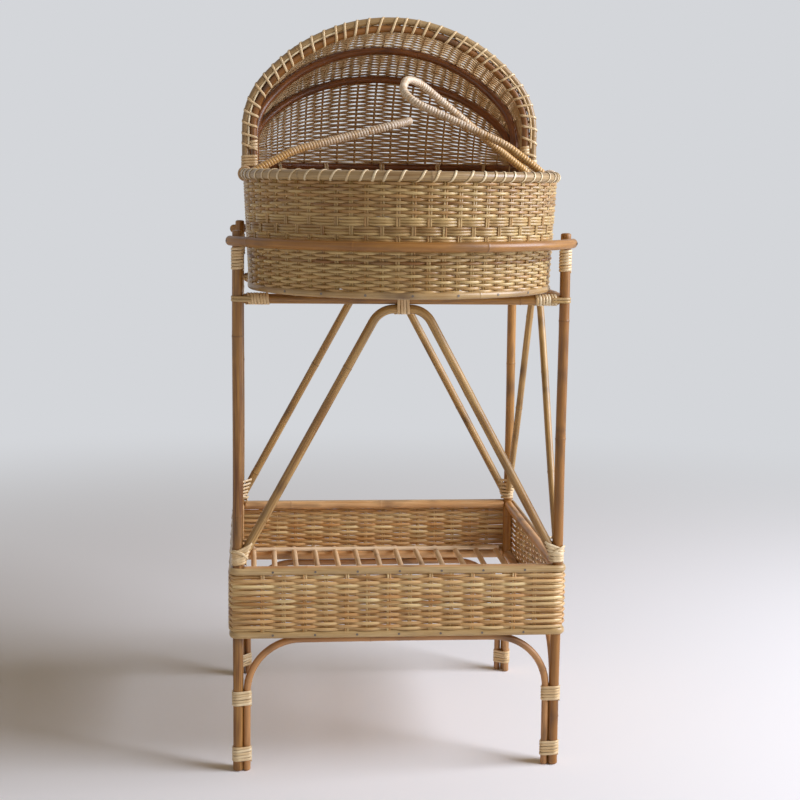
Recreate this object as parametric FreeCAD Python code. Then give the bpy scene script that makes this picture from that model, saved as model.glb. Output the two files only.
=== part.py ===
import FreeCAD, Part
import math
import os

V = FreeCAD.Vector
UP = V(0, 0, 1)

# Fits shared by the whole piece of furniture, in millimetres
pole_gap = 0.3
overrun = 60.0

# Basket: a straight-sided oval, wider and longer at the rim than at the base
rim_width = 444.0
rim_length = 764.0
rim_end_share = 0.91
side_flare = 8.0
end_flare = 12.0
basket_depth = 158.0
rim_diameter = 14.0
base_rod_diameter = 10.0
wall_thickness = 6.0
wall_groove = 1.6
wall_rows = 18
floor_thickness = 5.0
end_round_share = 0.72

# Stand: posts on a rectangle, crossbars under the basket, bowed hoops round its two ends
post_spacing_y = 460.0
post_diameter = 15.0
basket_side_gap = 0.5
crossbar_height = 692.5
crossbar_diameter = 14.0
hoop_rise = 81.0
hoop_diameter = 14.0
hoop_notch = 5.0
hoop_tail = 3.0
hoop_end_gap = 3.5
hoop_end_round = 4.5
post_top_rise = 14.5
saddle_depth = 0.4

# Peel bindings: a cord of split cane wound round the poles
peel_diameter = 3.0
peel_pitch = 4.4
post_binding_turns = 7
crossbar_binding_turns = 7
apex_binding_turns = 4
foot_lashing_turns = 6
leg_lower_turns = 5
leg_upper_turns = 5
hood_foot_turns = 4
leg_lower_start = 14.0
leg_upper_start = 98.0
lashing_slack = 1.2
gap_point_shares = (0.125, 0.375, 0.625, 0.875)
long_sweep_share = 0.9
loop_width = 10.0
loop_thickness = 2.0
loop_leg = 1.5

# Braces: one pole each, bent to an inverted V under the crossbars and side rails
brace_end_diameter = 13.0
brace_side_diameter = 11.0
brace_bend_radius = 35.0
brace_apex_run = 22.0
brace_foot_rise = 24.0

# Tray: rails between the posts, woven panels outside them, half-round edging, slats
tray_floor_height = 210.0
tray_depth = 89.0
tray_rail_diameter = 14.0
edging_height = 10.5
edging_thickness = 5.0
edging_top_offset = 1.0
edging_bottom_offset = 3.5
edging_round_share = 0.85
panel_thickness = 4.0
slat_count = 13
slat_pitch = 35.0
slat_diameter = 9.0
slat_overhang = 4.0

# Leg arches: one pole each, from foot to foot under the tray
arch_diameter = 10.5
arch_bend_radius = 78.0

# Nails
nail_head_diameter = 3.4
nail_head_thickness = 0.7
nail_shank_diameter = 1.8
nail_length = 12.0
base_nail_length = 6.0
nail_seat = 0.3
tray_nail_pitch = 61.0
tray_nails_per_side = 7
base_nails_per_end = 7
base_nail_spread = 62.0

# Hood: a woven shell over the head end, two poles round its mouth, two ribs inside, a base rail
hood_front = 0.0
hood_height = 231.0
hood_flank = 61.0
hood_foot_span = 150.0
hood_shell_thickness = 6.0
hood_groove = 1.6
hood_rows = 20
hood_pole_diameter = 11.0
hood_rail_diameter = 12.0
hood_rib_diameter = 12.5
hood_rib_gap = 1.0
hood_round_share = 0.70
hood_tilt_degrees = (0, 26, 47, 69, 90)
hood_foot_shares = (0, 0.4, 0.67, 0.87, 1)
hood_blend_shares = (0, 0.2, 0.5, 0.8, 1)

# Handles: bent cane loops with an eye at each foot, swinging on the rim's straight sides
handle_diameter = 12.0
handle_near_share = 0.8334
handle_far_share = 0.1222
handle_tip_inset = 20.0
handle_tip_round_share = 0.4545
handle_knee_run = 78.0
handle_knee_rise = 11.0
handle_knee_radius = 150.0
handle_left_length = 254.0
handle_right_length = 248.0
handle_right_twist = 43.0
handle_left_degrees = 18.3
handle_right_degrees = 27.6
eye_wall = 4.0
eye_width = 12.0
eye_slot_gap = 0.7

# Sizes that follow
post_r = post_diameter / 2
rim_r = rim_diameter / 2
base_r = base_rod_diameter / 2
bar_r = crossbar_diameter / 2
hoop_r = hoop_diameter / 2
peel_r = peel_diameter / 2
rail_r = tray_rail_diameter / 2
arch_r = arch_diameter / 2
half_wall = wall_thickness / 2
rim_x = rim_width / 2
rim_end = rim_x * rim_end_share
half_side = rim_length / 2 - rim_end
base_x = rim_x - side_flare
base_end = rim_end - end_flare
handle_near_foot = half_side * handle_near_share
handle_far_foot = half_side * handle_far_share
handle_near_tip = handle_near_foot - handle_tip_inset
handle_far_tip = handle_far_foot + handle_tip_inset
handle_tip_radius = (handle_near_tip - handle_far_tip) * handle_tip_round_share
post_x = rim_x + half_wall + basket_side_gap + post_r
post_y = post_spacing_y / 2
hoop_z = crossbar_height + hoop_rise
post_top = hoop_z + post_top_rise
bar_top = crossbar_height + bar_r
base_z = bar_top + pole_gap + peel_diameter + pole_gap + base_r
rim_z = base_z + basket_depth
wall_bottom = base_z + base_r + pole_gap
wall_top = rim_z - rim_r - pole_gap
tray_top_z = tray_floor_height + tray_depth
CORNERS = ((-1, -1), (1, -1), (1, 1), (-1, 1))


def line(start, end):
    return Part.LineSegment(start, end).toShape()


def arc(start, middle, end):
    return Part.Arc(start, middle, end).toShape()


def rod(start, end, diameter):
    """A straight round pole."""
    run = end - start
    return Part.makeCylinder(diameter / 2, run.Length, start, run)


def tube(edges, diameter):
    """A round pole along lines and arcs that run on from each other."""
    first = edges[0]
    start = first.valueAt(first.FirstParameter)
    heading = first.tangentAt(first.FirstParameter)
    ring = Part.Wire(Part.makeCircle(diameter / 2, start, heading))
    return Part.Wire(edges).makePipeShell([ring], True, False)


def bent_path(points, radii):
    """Straight runs through the points, with an arc of its own radius at each inner point."""
    edges = []
    start = points[0]
    for before, corner, after, radius in zip(points, points[1:], points[2:], radii):
        back = (before - corner).normalize()
        ahead = (after - corner).normalize()
        half_angle = back.getAngle(ahead) / 2
        reach = radius / math.tan(half_angle)
        inward = (back + ahead).normalize()
        middle = corner + inward * (radius / math.sin(half_angle) - radius)
        edges.append(line(start, corner + back * reach))
        edges.append(arc(corner + back * reach, middle, corner + ahead * reach))
        start = corner + ahead * reach
    edges.append(line(start, points[-1]))
    return edges


def bent_pole(points, radius, diameter):
    return tube(bent_path(points, [radius for _ in points[1:-1]]), diameter)


def end_arcs(half_width, depth, share):
    """A three-centred arch of that depth, from (half_width, 0) to (-half_width, 0), as corner points."""
    small = min(depth, half_width) * share
    large = ((half_width - small) ** 2 + depth ** 2 - small ** 2) / (2 * (depth - small))
    turn = math.atan2(large - depth, half_width - small)
    shoulder = (half_width - small + small * math.cos(turn), small * math.sin(turn))
    bulge = (half_width - small + small * math.cos(turn / 2), small * math.sin(turn / 2))
    return small, large, shoulder, bulge


def arch_edges(place, half_width, flank, rise, share, inset=0):
    """The arch's edges from its right foot over the top to its left foot, moved in by inset."""
    small, large, shoulder, bulge = end_arcs(half_width, rise, share)
    small_x = half_width - small
    shrink = (small - inset) / small

    def inner(point, side):
        return place(side * (small_x + (point[0] - small_x) * shrink), flank + point[1] * shrink)

    foot_x = half_width - inset
    top = place(0, flank + rise - inset)
    edges = [line(place(foot_x, 0), place(foot_x, flank))]
    edges.append(arc(place(foot_x, flank), inner(bulge, 1), inner(shoulder, 1)))
    edges.append(arc(inner(shoulder, 1), top, inner(shoulder, -1)))
    edges.append(arc(inner(shoulder, -1), inner(bulge, -1), place(-foot_x, flank)))
    edges.append(line(place(-foot_x, flank), place(-foot_x, 0)))
    return edges


def oval_edges(half_width, end_depth, z, inset=0):
    """Straight sides with an arch at each end, anticlockwise from the right side's middle."""
    edges = []
    for turn in (1, -1):
        def place(x, run):
            return V(x * turn, run * turn, z)
        edges += arch_edges(place, half_width, half_side, end_depth, end_round_share, inset)
    return edges


def oval_stack(levels):
    """A solid through ovals over each other, each given as half width, end depth, height and inset."""
    return Part.makeLoft([Part.Wire(oval_edges(*level)) for level in levels], True, True)


def biarc(start, heading, end, leaving):
    """Two arcs from start to end that keep both headings."""
    span = end - start
    both = heading + leaving
    bend = 2 * (1 - heading.dot(leaving))
    along = span.dot(both)
    reach = (math.sqrt(along ** 2 + bend * span.dot(span)) - along) / bend
    joint = (start + end + (heading - leaving) * reach) * 0.5
    first = arc(start, arc_middle(start, heading, joint), joint)
    return [first, arc(joint, arc_middle(end, leaving * -1, joint), end)]


def arc_middle(start, heading, end):
    """The middle of the arc that leaves start along heading and ends at end."""
    chord = end - start
    ahead = V(chord).normalize()
    side = (heading - ahead * heading.dot(ahead)).normalize()
    half_turn = heading.getAngle(chord) / 2
    return start + chord * 0.5 + side * (chord.Length / 2 * math.tan(half_turn))


def tangent_normal(one, two):
    """The outward normal of the tangent from circle one to circle two, going anticlockwise."""
    run = V(two[0] - one[0], two[1] - one[1], 0)
    ahead = (one[2] - two[2]) / run.Length
    run.normalize()
    outward = V(run.y, -run.x, 0)
    return run * ahead + outward * math.sqrt(1 - ahead ** 2)


def winding_stations(turns):
    """Plan points and headings of a cord round the circles of each turn, with the way between them."""
    stops = []
    for turn in turns:
        for index, circle in enumerate(turn):
            stops.append((circle, turn[(index + 1) % len(turn)]))
    steps = []
    for index, (circle, following) in enumerate(stops):
        if len(turns[0]) == 1:
            steps += [("arc", circle, 0, math.pi), ("arc", circle, math.pi, math.pi)]
            continue
        normal = tangent_normal(circle, following)
        centre = V(circle[0], circle[1], 0)
        target = V(following[0], following[1], 0)
        steps.append(("line", centre + normal * circle[2], target + normal * following[2]))
        if index + 1 < len(stops):
            leaving = tangent_normal(*stops[index + 1])
            begin = math.atan2(normal.y, normal.x)
            sweep = (math.atan2(leaving.y, leaving.x) - begin) % (2 * math.pi)
            halves = 2 if sweep > math.pi * long_sweep_share else 1
            for half in range(halves):
                steps.append(("arc", following, begin + sweep * half / halves, sweep / halves))
    return steps


def winding(turns, pitch, cord):
    """One unbroken cord wound upwards from height 0, round the circles (x, y, radius) of each turn."""
    steps = winding_stations(turns)
    lengths = [(s[2] - s[1]).Length if s[0] == "line" else s[1][2] * s[3] for s in steps]
    slope = pitch * len(turns) / sum(lengths)
    edges = []
    height = 0
    for step, length in zip(steps, lengths):
        rise = UP * (slope * length)
        if step[0] == "line":
            start = step[1] + UP * height
            edges.append(line(start, step[2] + UP * height + rise))
        else:
            circle, begin, sweep = step[1:]
            ends = []
            for angle, level in ((begin, height), (begin + sweep, height + slope * length)):
                outward = V(math.cos(angle), math.sin(angle), 0)
                point = V(circle[0], circle[1], level) + outward * circle[2]
                heading = V(-outward.y, outward.x, slope).normalize()
                ends += [point, heading]
            edges += biarc(*ends)
        height += slope * length
    first = edges[0]
    last = edges[-1]
    begin = first.valueAt(first.FirstParameter)
    finish = last.valueAt(last.LastParameter)
    lead = line(begin - first.tangentAt(first.FirstParameter) * cord, begin)
    tail = line(finish, finish + last.tangentAt(last.LastParameter) * cord)
    edges = [lead] + edges + [tail]
    print("winding of", len(turns), "turns: least gap", round(least_gap(edges, cord), 2))
    return tube(edges, cord)


def least_gap(edges, cord):
    """The least clear gap of a wound cord to its other turns, measured on points along it."""
    points = []
    travelled = []
    length = 0
    for edge in edges:
        span = edge.LastParameter - edge.FirstParameter
        for share in gap_point_shares:
            points.append(edge.valueAt(edge.FirstParameter + share * span))
            travelled.append(length + share * edge.Length)
        length += edge.Length
    apart = 4 * cord
    gaps = [
        (one - two).Length - cord
        for index, one in enumerate(points)
        for other, two in enumerate(points[:index])
        if travelled[index] - travelled[other] > apart
    ]
    return min(gaps)


def placed(shape, origin, x_axis, z_axis):
    """A copy of a shape made at the zero point, with its own X and Z axes turned to these."""
    y_axis = z_axis.cross(x_axis)
    turn = FreeCAD.Matrix(
        x_axis.x, y_axis.x, z_axis.x, origin.x,
        x_axis.y, y_axis.y, z_axis.y, origin.y,
        x_axis.z, y_axis.z, z_axis.z, origin.z,
        0, 0, 0, 1,
    )
    copy = shape.copy()
    copy.Placement = FreeCAD.Placement(turn)
    return copy


def around(*circles):
    """Circles for a cord that lies on poles given as x, y and radius."""
    return [(x, y, radius + pole_gap + peel_r) for x, y, radius in circles]


def nail(tip, outward, length):
    """A nail whose shank ends at tip and whose head lies outward of it."""
    shank = Part.makeCylinder(nail_shank_diameter / 2, length, tip, outward)
    seat = tip + outward * length
    head = Part.makeCylinder(nail_head_diameter / 2, nail_head_thickness, seat, outward)
    return shank.fuse(head)


def keep(node, *solids):
    shape = solids[0] if len(solids) == 1 else Part.makeCompound(solids)
    count = len(shape.Solids)
    if not shape.isValid() or count != len(solids):
        print("check", node, "valid", shape.isValid(), "solids", count, "of", len(solids))
    shape.exportStep("parts/" + node + ".step")


os.makedirs("parts", exist_ok=True)

# Posts stand on the floor at the corners of a rectangle
post_names = ("front_left", "front_right", "back_right", "back_left")
for name, (side, end) in zip(post_names, CORNERS):
    foot = V(side * post_x, end * post_y, 0)
    keep("post_" + name, rod(foot, foot + UP * post_top, post_diameter))


def without_posts(shape, clearance):
    """The shape with a saddle cut for each post that it runs up to or over."""
    for side, end in CORNERS:
        foot = V(side * post_x, end * post_y, -overrun)
        shape = shape.cut(Part.makeCylinder(post_r + clearance, post_top + 2 * overrun, foot))
    return shape


def between_posts(pole, reach_x, reach_y):
    """A pole shortened to that reach from the middle, with saddle cuts for the posts at its ends."""
    room = Part.makeBox(2 * reach_x, 2 * reach_y, post_top, V(-reach_x, -reach_y, 0))
    return without_posts(pole.common(room), pole_gap)


# Poles between the posts butt against them; across its own line a pole has all the room it needs
butt_x = post_x - post_r + saddle_depth
butt_y = post_y - post_r + saddle_depth
free_x = post_x + overrun
free_y = post_y + overrun

# Crossbars run left to right under the basket, side rails front to back, at the same height
for name, end in (("front", -1), ("back", 1)):
    start = V(-post_x, end * post_y, crossbar_height)
    bar = rod(start, start + V(2 * post_x, 0, 0), crossbar_diameter)
    keep("crossbar_" + name, between_posts(bar, butt_x, free_y))
loop_inner = max(post_r, bar_r) + pole_gap
loop_outer = loop_inner + loop_thickness
rail_end = post_y - loop_outer - pole_gap
for name, side in (("left", -1), ("right", 1)):
    start = V(side * post_x, -rail_end, crossbar_height)
    keep("side_rail_" + name, rod(start, start + V(0, 2 * rail_end, 0), crossbar_diameter))


def level_share(z):
    """How far up the wall a height lies, from the base rod to the rim."""
    return (z - base_z) / (rim_z - base_z)


# Hoops bow round the basket's ends, notched over the outside of the posts
hoop_share = level_share(hoop_z)
hoop_reach = half_side + base_end + hoop_share * (rim_end - base_end) + half_wall + hoop_end_gap + hoop_r
seat = post_r + hoop_r - hoop_notch
hoop_centre = ((hoop_reach - seat) ** 2 - post_x ** 2 - post_y ** 2) / (2 * (hoop_reach - seat - post_y))
hoop_radius = hoop_reach - hoop_centre
hoop_spread = math.atan2(post_x, post_y - hoop_centre) + hoop_tail / hoop_radius
hoop_nails = []
for name, end in (("front", -1), ("back", 1)):
    def on_hoop(angle):
        reach = hoop_centre + hoop_radius * math.cos(angle)
        return V(hoop_radius * math.sin(angle), end * reach, hoop_z)
    hoop = tube([arc(on_hoop(-hoop_spread), on_hoop(0), on_hoop(hoop_spread))], hoop_diameter)
    caps = [edge for edge in hoop.Edges if edge.isClosed()]
    hoop = hoop.makeFillet(hoop_end_round, caps)
    keep("hoop_" + name, without_posts(hoop, pole_gap))
    for side in (-1, 1):
        axis = V(side * post_x, end * post_y, hoop_z)
        outward = (axis - V(0, end * hoop_centre, hoop_z)).normalize()
        head_seat = seat + hoop_r - nail_seat
        hoop_nails.append(nail(axis + outward * (head_seat - nail_length), outward, nail_length))
keep("hoop_nails", *hoop_nails)

# Wound bindings on the posts, right under the hoops
post_binding = winding([around((0, 0, post_r))] * post_binding_turns, peel_pitch, peel_diameter)
binding_height = post_binding_turns * peel_pitch
binding_start = hoop_z - hoop_r - pole_gap - peel_diameter - binding_height
keep("post_top_bindings", *[
    placed(post_binding, V(side * post_x, end * post_y, binding_start), V(-side, 0, 0), UP)
    for side, end in CORNERS
])

# Peel loops go round the post at each crossbar end, and wound bindings hold the crossbar beyond them
leg_reach = post_r + loop_leg
loop_outline = [
    line(V(leg_reach, loop_outer, 0), V(0, loop_outer, 0)),
    arc(V(0, loop_outer, 0), V(-loop_outer, 0, 0), V(0, -loop_outer, 0)),
    line(V(0, -loop_outer, 0), V(leg_reach, -loop_outer, 0)),
    line(V(leg_reach, -loop_outer, 0), V(leg_reach, -loop_inner, 0)),
    line(V(leg_reach, -loop_inner, 0), V(0, -loop_inner, 0)),
    arc(V(0, -loop_inner, 0), V(-loop_inner, 0, 0), V(0, loop_inner, 0)),
    line(V(0, loop_inner, 0), V(leg_reach, loop_inner, 0)),
    line(V(leg_reach, loop_inner, 0), V(leg_reach, loop_outer, 0)),
]
peel_loop = Part.Face(Part.Wire(loop_outline)).extrude(UP * loop_width)
loop_z = crossbar_height - loop_width / 2
keep("crossbar_loops", *[
    placed(peel_loop, V(side * post_x, end * post_y, loop_z), V(-side, 0, 0), UP)
    for side, end in CORNERS
])
bar_binding = winding([around((0, 0, bar_r))] * crossbar_binding_turns, peel_pitch, peel_diameter)
bar_binding_x = post_x - leg_reach - pole_gap - peel_diameter
keep("crossbar_bindings", *[
    placed(bar_binding, V(side * bar_binding_x, end * post_y, crossbar_height), V(0, 0, -1), V(-side, 0, 0))
    for side, end in CORNERS
])

# Braces: an inverted V under each crossbar and side rail, its feet against the posts above the tray
brace_foot_z = tray_top_z + brace_foot_rise
foot_reach = post_r + pole_gap


def brace_points(half_span, diameter):
    """The bent pole's corner points as run and height, from post axis to post axis, and its slope."""
    apex_z = crossbar_height - bar_r - pole_gap - diameter / 2
    corner = brace_apex_run / 2
    for _ in range(12):
        slope = (apex_z - brace_foot_z) / (half_span - foot_reach - corner)
        corner = brace_apex_run / 2 + brace_bend_radius * math.tan(math.atan(slope) / 2)
    axis_z = brace_foot_z - foot_reach * slope
    return [(-half_span, axis_z), (-corner, apex_z), (corner, apex_z), (half_span, axis_z)], slope


end_brace, end_slope = brace_points(post_x, brace_end_diameter)
side_brace, side_slope = brace_points(post_y, brace_side_diameter)
tray_top_edge = tray_top_z + max(rail_r, edging_top_offset + edging_height / 2) + pole_gap
under = Part.makeBox(4 * post_x, 4 * post_y, tray_top_edge, V(-2 * post_x, -2 * post_y, 0))
for name, end in (("front", -1), ("back", 1)):
    points = [V(run, end * post_y, z) for run, z in end_brace]
    brace = bent_pole(points, brace_bend_radius, brace_end_diameter).cut(under)
    keep("brace_" + name, between_posts(brace, butt_x, free_y))
for name, side in (("left", -1), ("right", 1)):
    points = [V(side * post_x, run, z) for run, z in side_brace]
    brace = bent_pole(points, brace_bend_radius, brace_side_diameter).cut(under)
    keep("brace_" + name, between_posts(brace, free_x, butt_y))

# Wound bindings hold each brace's flat top to the bar above it
apex_bindings = []
apex_half = apex_binding_turns * peel_pitch / 2
for diameter, heading, spots in (
    (brace_end_diameter, V(1, 0, 0), (V(0, -post_y, 0), V(0, post_y, 0))),
    (brace_side_diameter, V(0, 1, 0), (V(-post_x, 0, 0), V(post_x, 0, 0))),
):
    pair = around((0, 0, bar_r), (bar_r + pole_gap + diameter / 2, 0, diameter / 2))
    apex_binding = winding([pair] * apex_binding_turns, peel_pitch, peel_diameter)
    for spot in spots:
        origin = spot + UP * crossbar_height - heading * apex_half
        apex_bindings.append(placed(apex_binding, origin, V(0, 0, -1), heading))
keep("brace_apex_bindings", *apex_bindings)


def cluster(side, end, first, second):
    """Circles round a post and two poles beside it: first inward along X, second inward along Y."""
    post = (0, 0, post_r + pole_gap + peel_r)
    along_x = (-side * first[0], 0, first[1])
    along_y = (0, -end * second[0], second[1])
    return [post, along_x, along_y] if side * end > 0 else [post, along_y, along_x]


# Lashings bind the two brace feet to each post
foot_lashings = []
lashing_start = tray_top_edge + peel_r + pole_gap
cord_room = pole_gap + peel_r + lashing_slack
for side, end in CORNERS:
    turns = []
    for turn in range(foot_lashing_turns):
        rise = lashing_start + (turn + 1) * peel_pitch - brace_foot_z
        feet = []
        for slope, diameter in ((end_slope, brace_end_diameter), (side_slope, brace_side_diameter)):
            lean = math.hypot(1, slope) / slope
            feet.append((max(foot_reach + rise / slope, foot_reach / 2), diameter / 2 * lean + cord_room))
        turns.append(cluster(side, end, *feet))
    lashing = winding(turns, peel_pitch, peel_diameter)
    foot_lashings.append(placed(lashing, V(side * post_x, end * post_y, lashing_start), V(1, 0, 0), UP))
keep("brace_foot_lashings", *foot_lashings)

# Tray rails run between the posts at the tray's top and bottom
for level, z in (("top", tray_top_z), ("bottom", tray_floor_height)):
    for name, end in (("front", -1), ("back", 1)):
        start = V(-post_x, end * post_y, z)
        rail = rod(start, start + V(2 * post_x, 0, 0), tray_rail_diameter)
        keep("tray_" + level + "_rail_" + name, between_posts(rail, butt_x, free_y))
    for name, side in (("left", -1), ("right", 1)):
        start = V(side * post_x, -post_y, z)
        rail = rod(start, start + V(0, 2 * post_y, 0), tray_rail_diameter)
        keep("tray_" + level + "_rail_" + name, between_posts(rail, free_x, butt_y))


def rounded_block(inset, low, high):
    """A block round all four posts, its upright corners rounded about the post axes."""
    x = post_x + inset
    y = post_y + inset
    block = Part.makeBox(2 * x, 2 * y, high - low, V(-x, -y, low))
    corners = [edge for edge in block.Edges if edge.BoundBox.ZLength > (high - low) / 2]
    return block.makeFillet(inset, corners)


# Half-round edging goes round the outside of the posts at the tray's top and bottom
edging_inset = post_r + pole_gap
edging_levels = {"top": tray_top_z + edging_top_offset, "bottom": tray_floor_height - edging_bottom_offset}
edging_round = min(edging_thickness, edging_height / 2) * edging_round_share
for level, z in edging_levels.items():
    low = z - edging_height / 2
    high = z + edging_height / 2
    edging = rounded_block(edging_inset + edging_thickness, low, high)
    rims = [edge for edge in edging.Edges if edge.BoundBox.ZLength < pole_gap]
    edging = edging.makeFillet(edging_round, rims)
    edging = edging.cut(rounded_block(edging_inset, low - overrun, high + overrun))
    keep("tray_edging_" + level, edging)

# Woven panels fill the space between the edgings, mitred at the corners
panel_low = edging_levels["bottom"] + edging_height / 2 + pole_gap
panel_high = edging_levels["top"] - edging_height / 2 - pole_gap
weave = rounded_block(edging_inset + panel_thickness, panel_low, panel_high)
weave = weave.cut(rounded_block(edging_inset, panel_low - overrun, panel_high + overrun))
for name, near, far in (
    ("front", CORNERS[0], CORNERS[1]),
    ("right", CORNERS[1], CORNERS[2]),
    ("back", CORNERS[2], CORNERS[3]),
    ("left", CORNERS[3], CORNERS[0]),
):
    outline = []
    for (side, end), reach in ((near, 0), (far, 0), (far, overrun), (near, overrun)):
        outline.append(V(side * (post_x + reach), end * (post_y + reach), panel_low))
    wedge = Part.Face(Part.makePolygon(outline + outline[:1])).extrude(UP * (panel_high - panel_low))
    keep("tray_panel_" + name, weave.common(wedge))

# Slats lie on the front and back bottom rails and end a little past their middles
slat_z = tray_floor_height + rail_r + pole_gap + slat_diameter / 2
slat_y = post_y + slat_overhang
slats = []
for index in range(slat_count):
    x = (index - (slat_count - 1) / 2) * slat_pitch
    slats.append(rod(V(x, -slat_y, slat_z), V(x, slat_y, slat_z), slat_diameter))
keep("tray_slats", *slats)

# Nails go through the edgings into the rails behind them
tray_nails = []
nail_reach = edging_inset + edging_thickness - nail_seat
for z in edging_levels.values():
    for index in range(tray_nails_per_side):
        run = (index - (tray_nails_per_side - 1) / 2) * tray_nail_pitch
        for outward, spot in (
            (V(0, -1, 0), V(run, -post_y, z)),
            (V(0, 1, 0), V(run, post_y, z)),
            (V(-1, 0, 0), V(-post_x, run, z)),
            (V(1, 0, 0), V(post_x, run, z)),
        ):
            tray_nails.append(nail(spot + outward * (nail_reach - nail_length), outward, nail_length))
keep("tray_nails", *tray_nails)

# Leg arches stand beside the posts and run under the bottom rails
arch_z = tray_floor_height - rail_r - pole_gap - arch_r
leg_offset = post_r + pole_gap + arch_r
arch_x = post_x - leg_offset
arch_y = post_y - leg_offset
for name, end in (("front", -1), ("back", 1)):
    y = end * post_y
    points = [V(-arch_x, y, 0), V(-arch_x, y, arch_z), V(arch_x, y, arch_z), V(arch_x, y, 0)]
    keep("leg_arch_" + name, bent_pole(points, arch_bend_radius, arch_diameter))
for name, side in (("left", -1), ("right", 1)):
    x = side * post_x
    points = [V(x, -arch_y, 0), V(x, -arch_y, arch_z), V(x, arch_y, arch_z), V(x, arch_y, 0)]
    keep("leg_arch_" + name, bent_pole(points, arch_bend_radius, arch_diameter))

# Wound bindings hold the arches' legs to the posts, near the floor and higher up
leg_circle = (leg_offset, arch_r + pole_gap + peel_r)
for node, start, count in (
    ("leg_bindings_lower", leg_lower_start, leg_lower_turns),
    ("leg_bindings_upper", leg_upper_start, leg_upper_turns),
):
    bindings = []
    for side, end in CORNERS:
        turn = cluster(side, end, leg_circle, leg_circle)
        binding = winding([turn] * count, peel_pitch, peel_diameter)
        bindings.append(placed(binding, V(side * post_x, end * post_y, start), V(1, 0, 0), UP))
    keep(node, *bindings)

# Basket: base rod, woven wall standing on it, woven floor lying on it, rim pole on the wall
keep("basket_base_rod", tube(oval_edges(base_x, base_end, base_z), base_rod_diameter))
keep("basket_rim", tube(oval_edges(rim_x, rim_end, rim_z), rim_diameter))


def wall_oval(z, inset):
    """The oval of the wall's middle at that height, moved in by inset."""
    share = level_share(z)
    half_width = base_x + share * (rim_x - base_x)
    end_depth = base_end + share * (rim_end - base_end)
    return half_width, end_depth, z, inset


floor_top = wall_bottom + floor_thickness
floor_inset = half_wall + pole_gap
keep("basket_floor", oval_stack([wall_oval(z, floor_inset) for z in (wall_bottom, floor_top)]))

# Each row of the weave stands out as a ridge, outside and inside, with a groove above and below it
row_height = (wall_top - wall_bottom) / wall_rows
wall_levels = [(wall_bottom, half_wall - wall_groove)]
for row in range(wall_rows):
    row_bottom = wall_bottom + row * row_height
    wall_levels.append((row_bottom + row_height / 2, half_wall))
    wall_levels.append((row_bottom + row_height, half_wall - wall_groove))
wall = oval_stack([wall_oval(z, -half) for z, half in wall_levels])
wall = wall.cut(oval_stack([wall_oval(z, half) for z, half in wall_levels]))

# The handles' eyes go round the rim, so the wall is slotted under each of them
eye_inner = rim_r + pole_gap
eye_outer = eye_inner + eye_wall
slot_width = eye_width + 2 * eye_slot_gap
for side in (-1, 1):
    for foot_y in (-handle_near_foot, -handle_far_foot):
        start = V(side * rim_x, foot_y - slot_width / 2, rim_z)
        wall = wall.cut(Part.makeCylinder(eye_outer + eye_slot_gap, slot_width, start, V(0, 1, 0)))
keep("basket_wall", wall)

# Nails in the base rod, round its two ends
base_nails = []
small, large, shoulder, bulge = end_arcs(base_x, base_end, end_round_share)
for end in (-1, 1):
    for index in range(base_nails_per_end):
        turn = (index - (base_nails_per_end - 1) / 2) * base_nail_spread / large
        if abs(large * math.sin(turn)) > shoulder[0]:
            continue
        outward = V(math.sin(turn), end * math.cos(turn), 0)
        centre = V(0, end * (half_side + base_end - large), base_z)
        base_nails.append(nail(centre + outward * (large + base_r - nail_seat - base_nail_length), outward,
                               base_nail_length))
keep("basket_nails", *base_nails)

# Hood: two poles side by side round its mouth, standing on the rim
pole_r = hood_pole_diameter / 2
rail_hood_r = hood_rail_diameter / 2
rim_top = rim_z + rim_r + pole_gap
pole_pitch = hood_pole_diameter + 2 * pole_gap
arch_rise = hood_height - hood_flank - pole_r


def upright(x, height):
    return V(x, hood_front, rim_top + height)


for node, inset in (("hood_arch_outer", 0), ("hood_arch_inner", pole_pitch)):
    pole_path = arch_edges(upright, rim_x, hood_flank, arch_rise, hood_round_share, inset)
    keep(node, tube(pole_path, hood_pole_diameter))

# Base rail: lies on the rim round the head end, behind the arch's feet and their bindings
rail_front = hood_front + pole_r + pole_gap + peel_diameter + pole_gap
hood_rail_z = rim_top + rail_hood_r


def on_rim(x, run):
    return V(x, rail_front + run, hood_rail_z)


keep("hood_base_rail", tube(
    arch_edges(on_rim, rim_x, half_side - rail_front, rim_end, end_round_share), hood_rail_diameter))

# Woven shell: sections that lean back from the mouth to the base rail, with a ridge for each row
shell_z = hood_rail_z + rail_hood_r + pole_gap
half_shell = hood_shell_thickness / 2
front_values = {
    "half_width": rim_x - pole_pitch / 2 + half_shell,
    "flank": rim_top + hood_flank - shell_z,
    "rise": arch_rise - pole_pitch / 2 + half_shell,
    "round": hood_round_share,
}
base_values = {
    "half_width": rim_x + half_shell,
    "flank": half_side - rail_front - hood_foot_span,
    "rise": rim_end + half_shell,
    "round": end_round_share,
}


def through(values, place):
    """A smooth curve through one value for each section, at a place counted in sections."""
    total = 0
    for index, value in enumerate(values):
        others = [other for other in range(len(values)) if other != index]
        total += value * math.prod((place - other) / (index - other) for other in others)
    return total


def hood_section(spot):
    """The shell's outer arch at a spot counted in sections, and the plane that it stands in."""
    blend = through(hood_blend_shares, spot)
    values = {key: front + blend * (base_values[key] - front) for key, front in front_values.items()}
    tilt = math.radians(through(hood_tilt_degrees, spot))
    foot = rail_front + through(hood_foot_shares, spot) * hood_foot_span

    def place(x, height):
        return V(x, foot + height * math.sin(tilt), shell_z + height * math.cos(tilt))

    return place, values["half_width"], values["flank"], values["rise"], values["round"]


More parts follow.
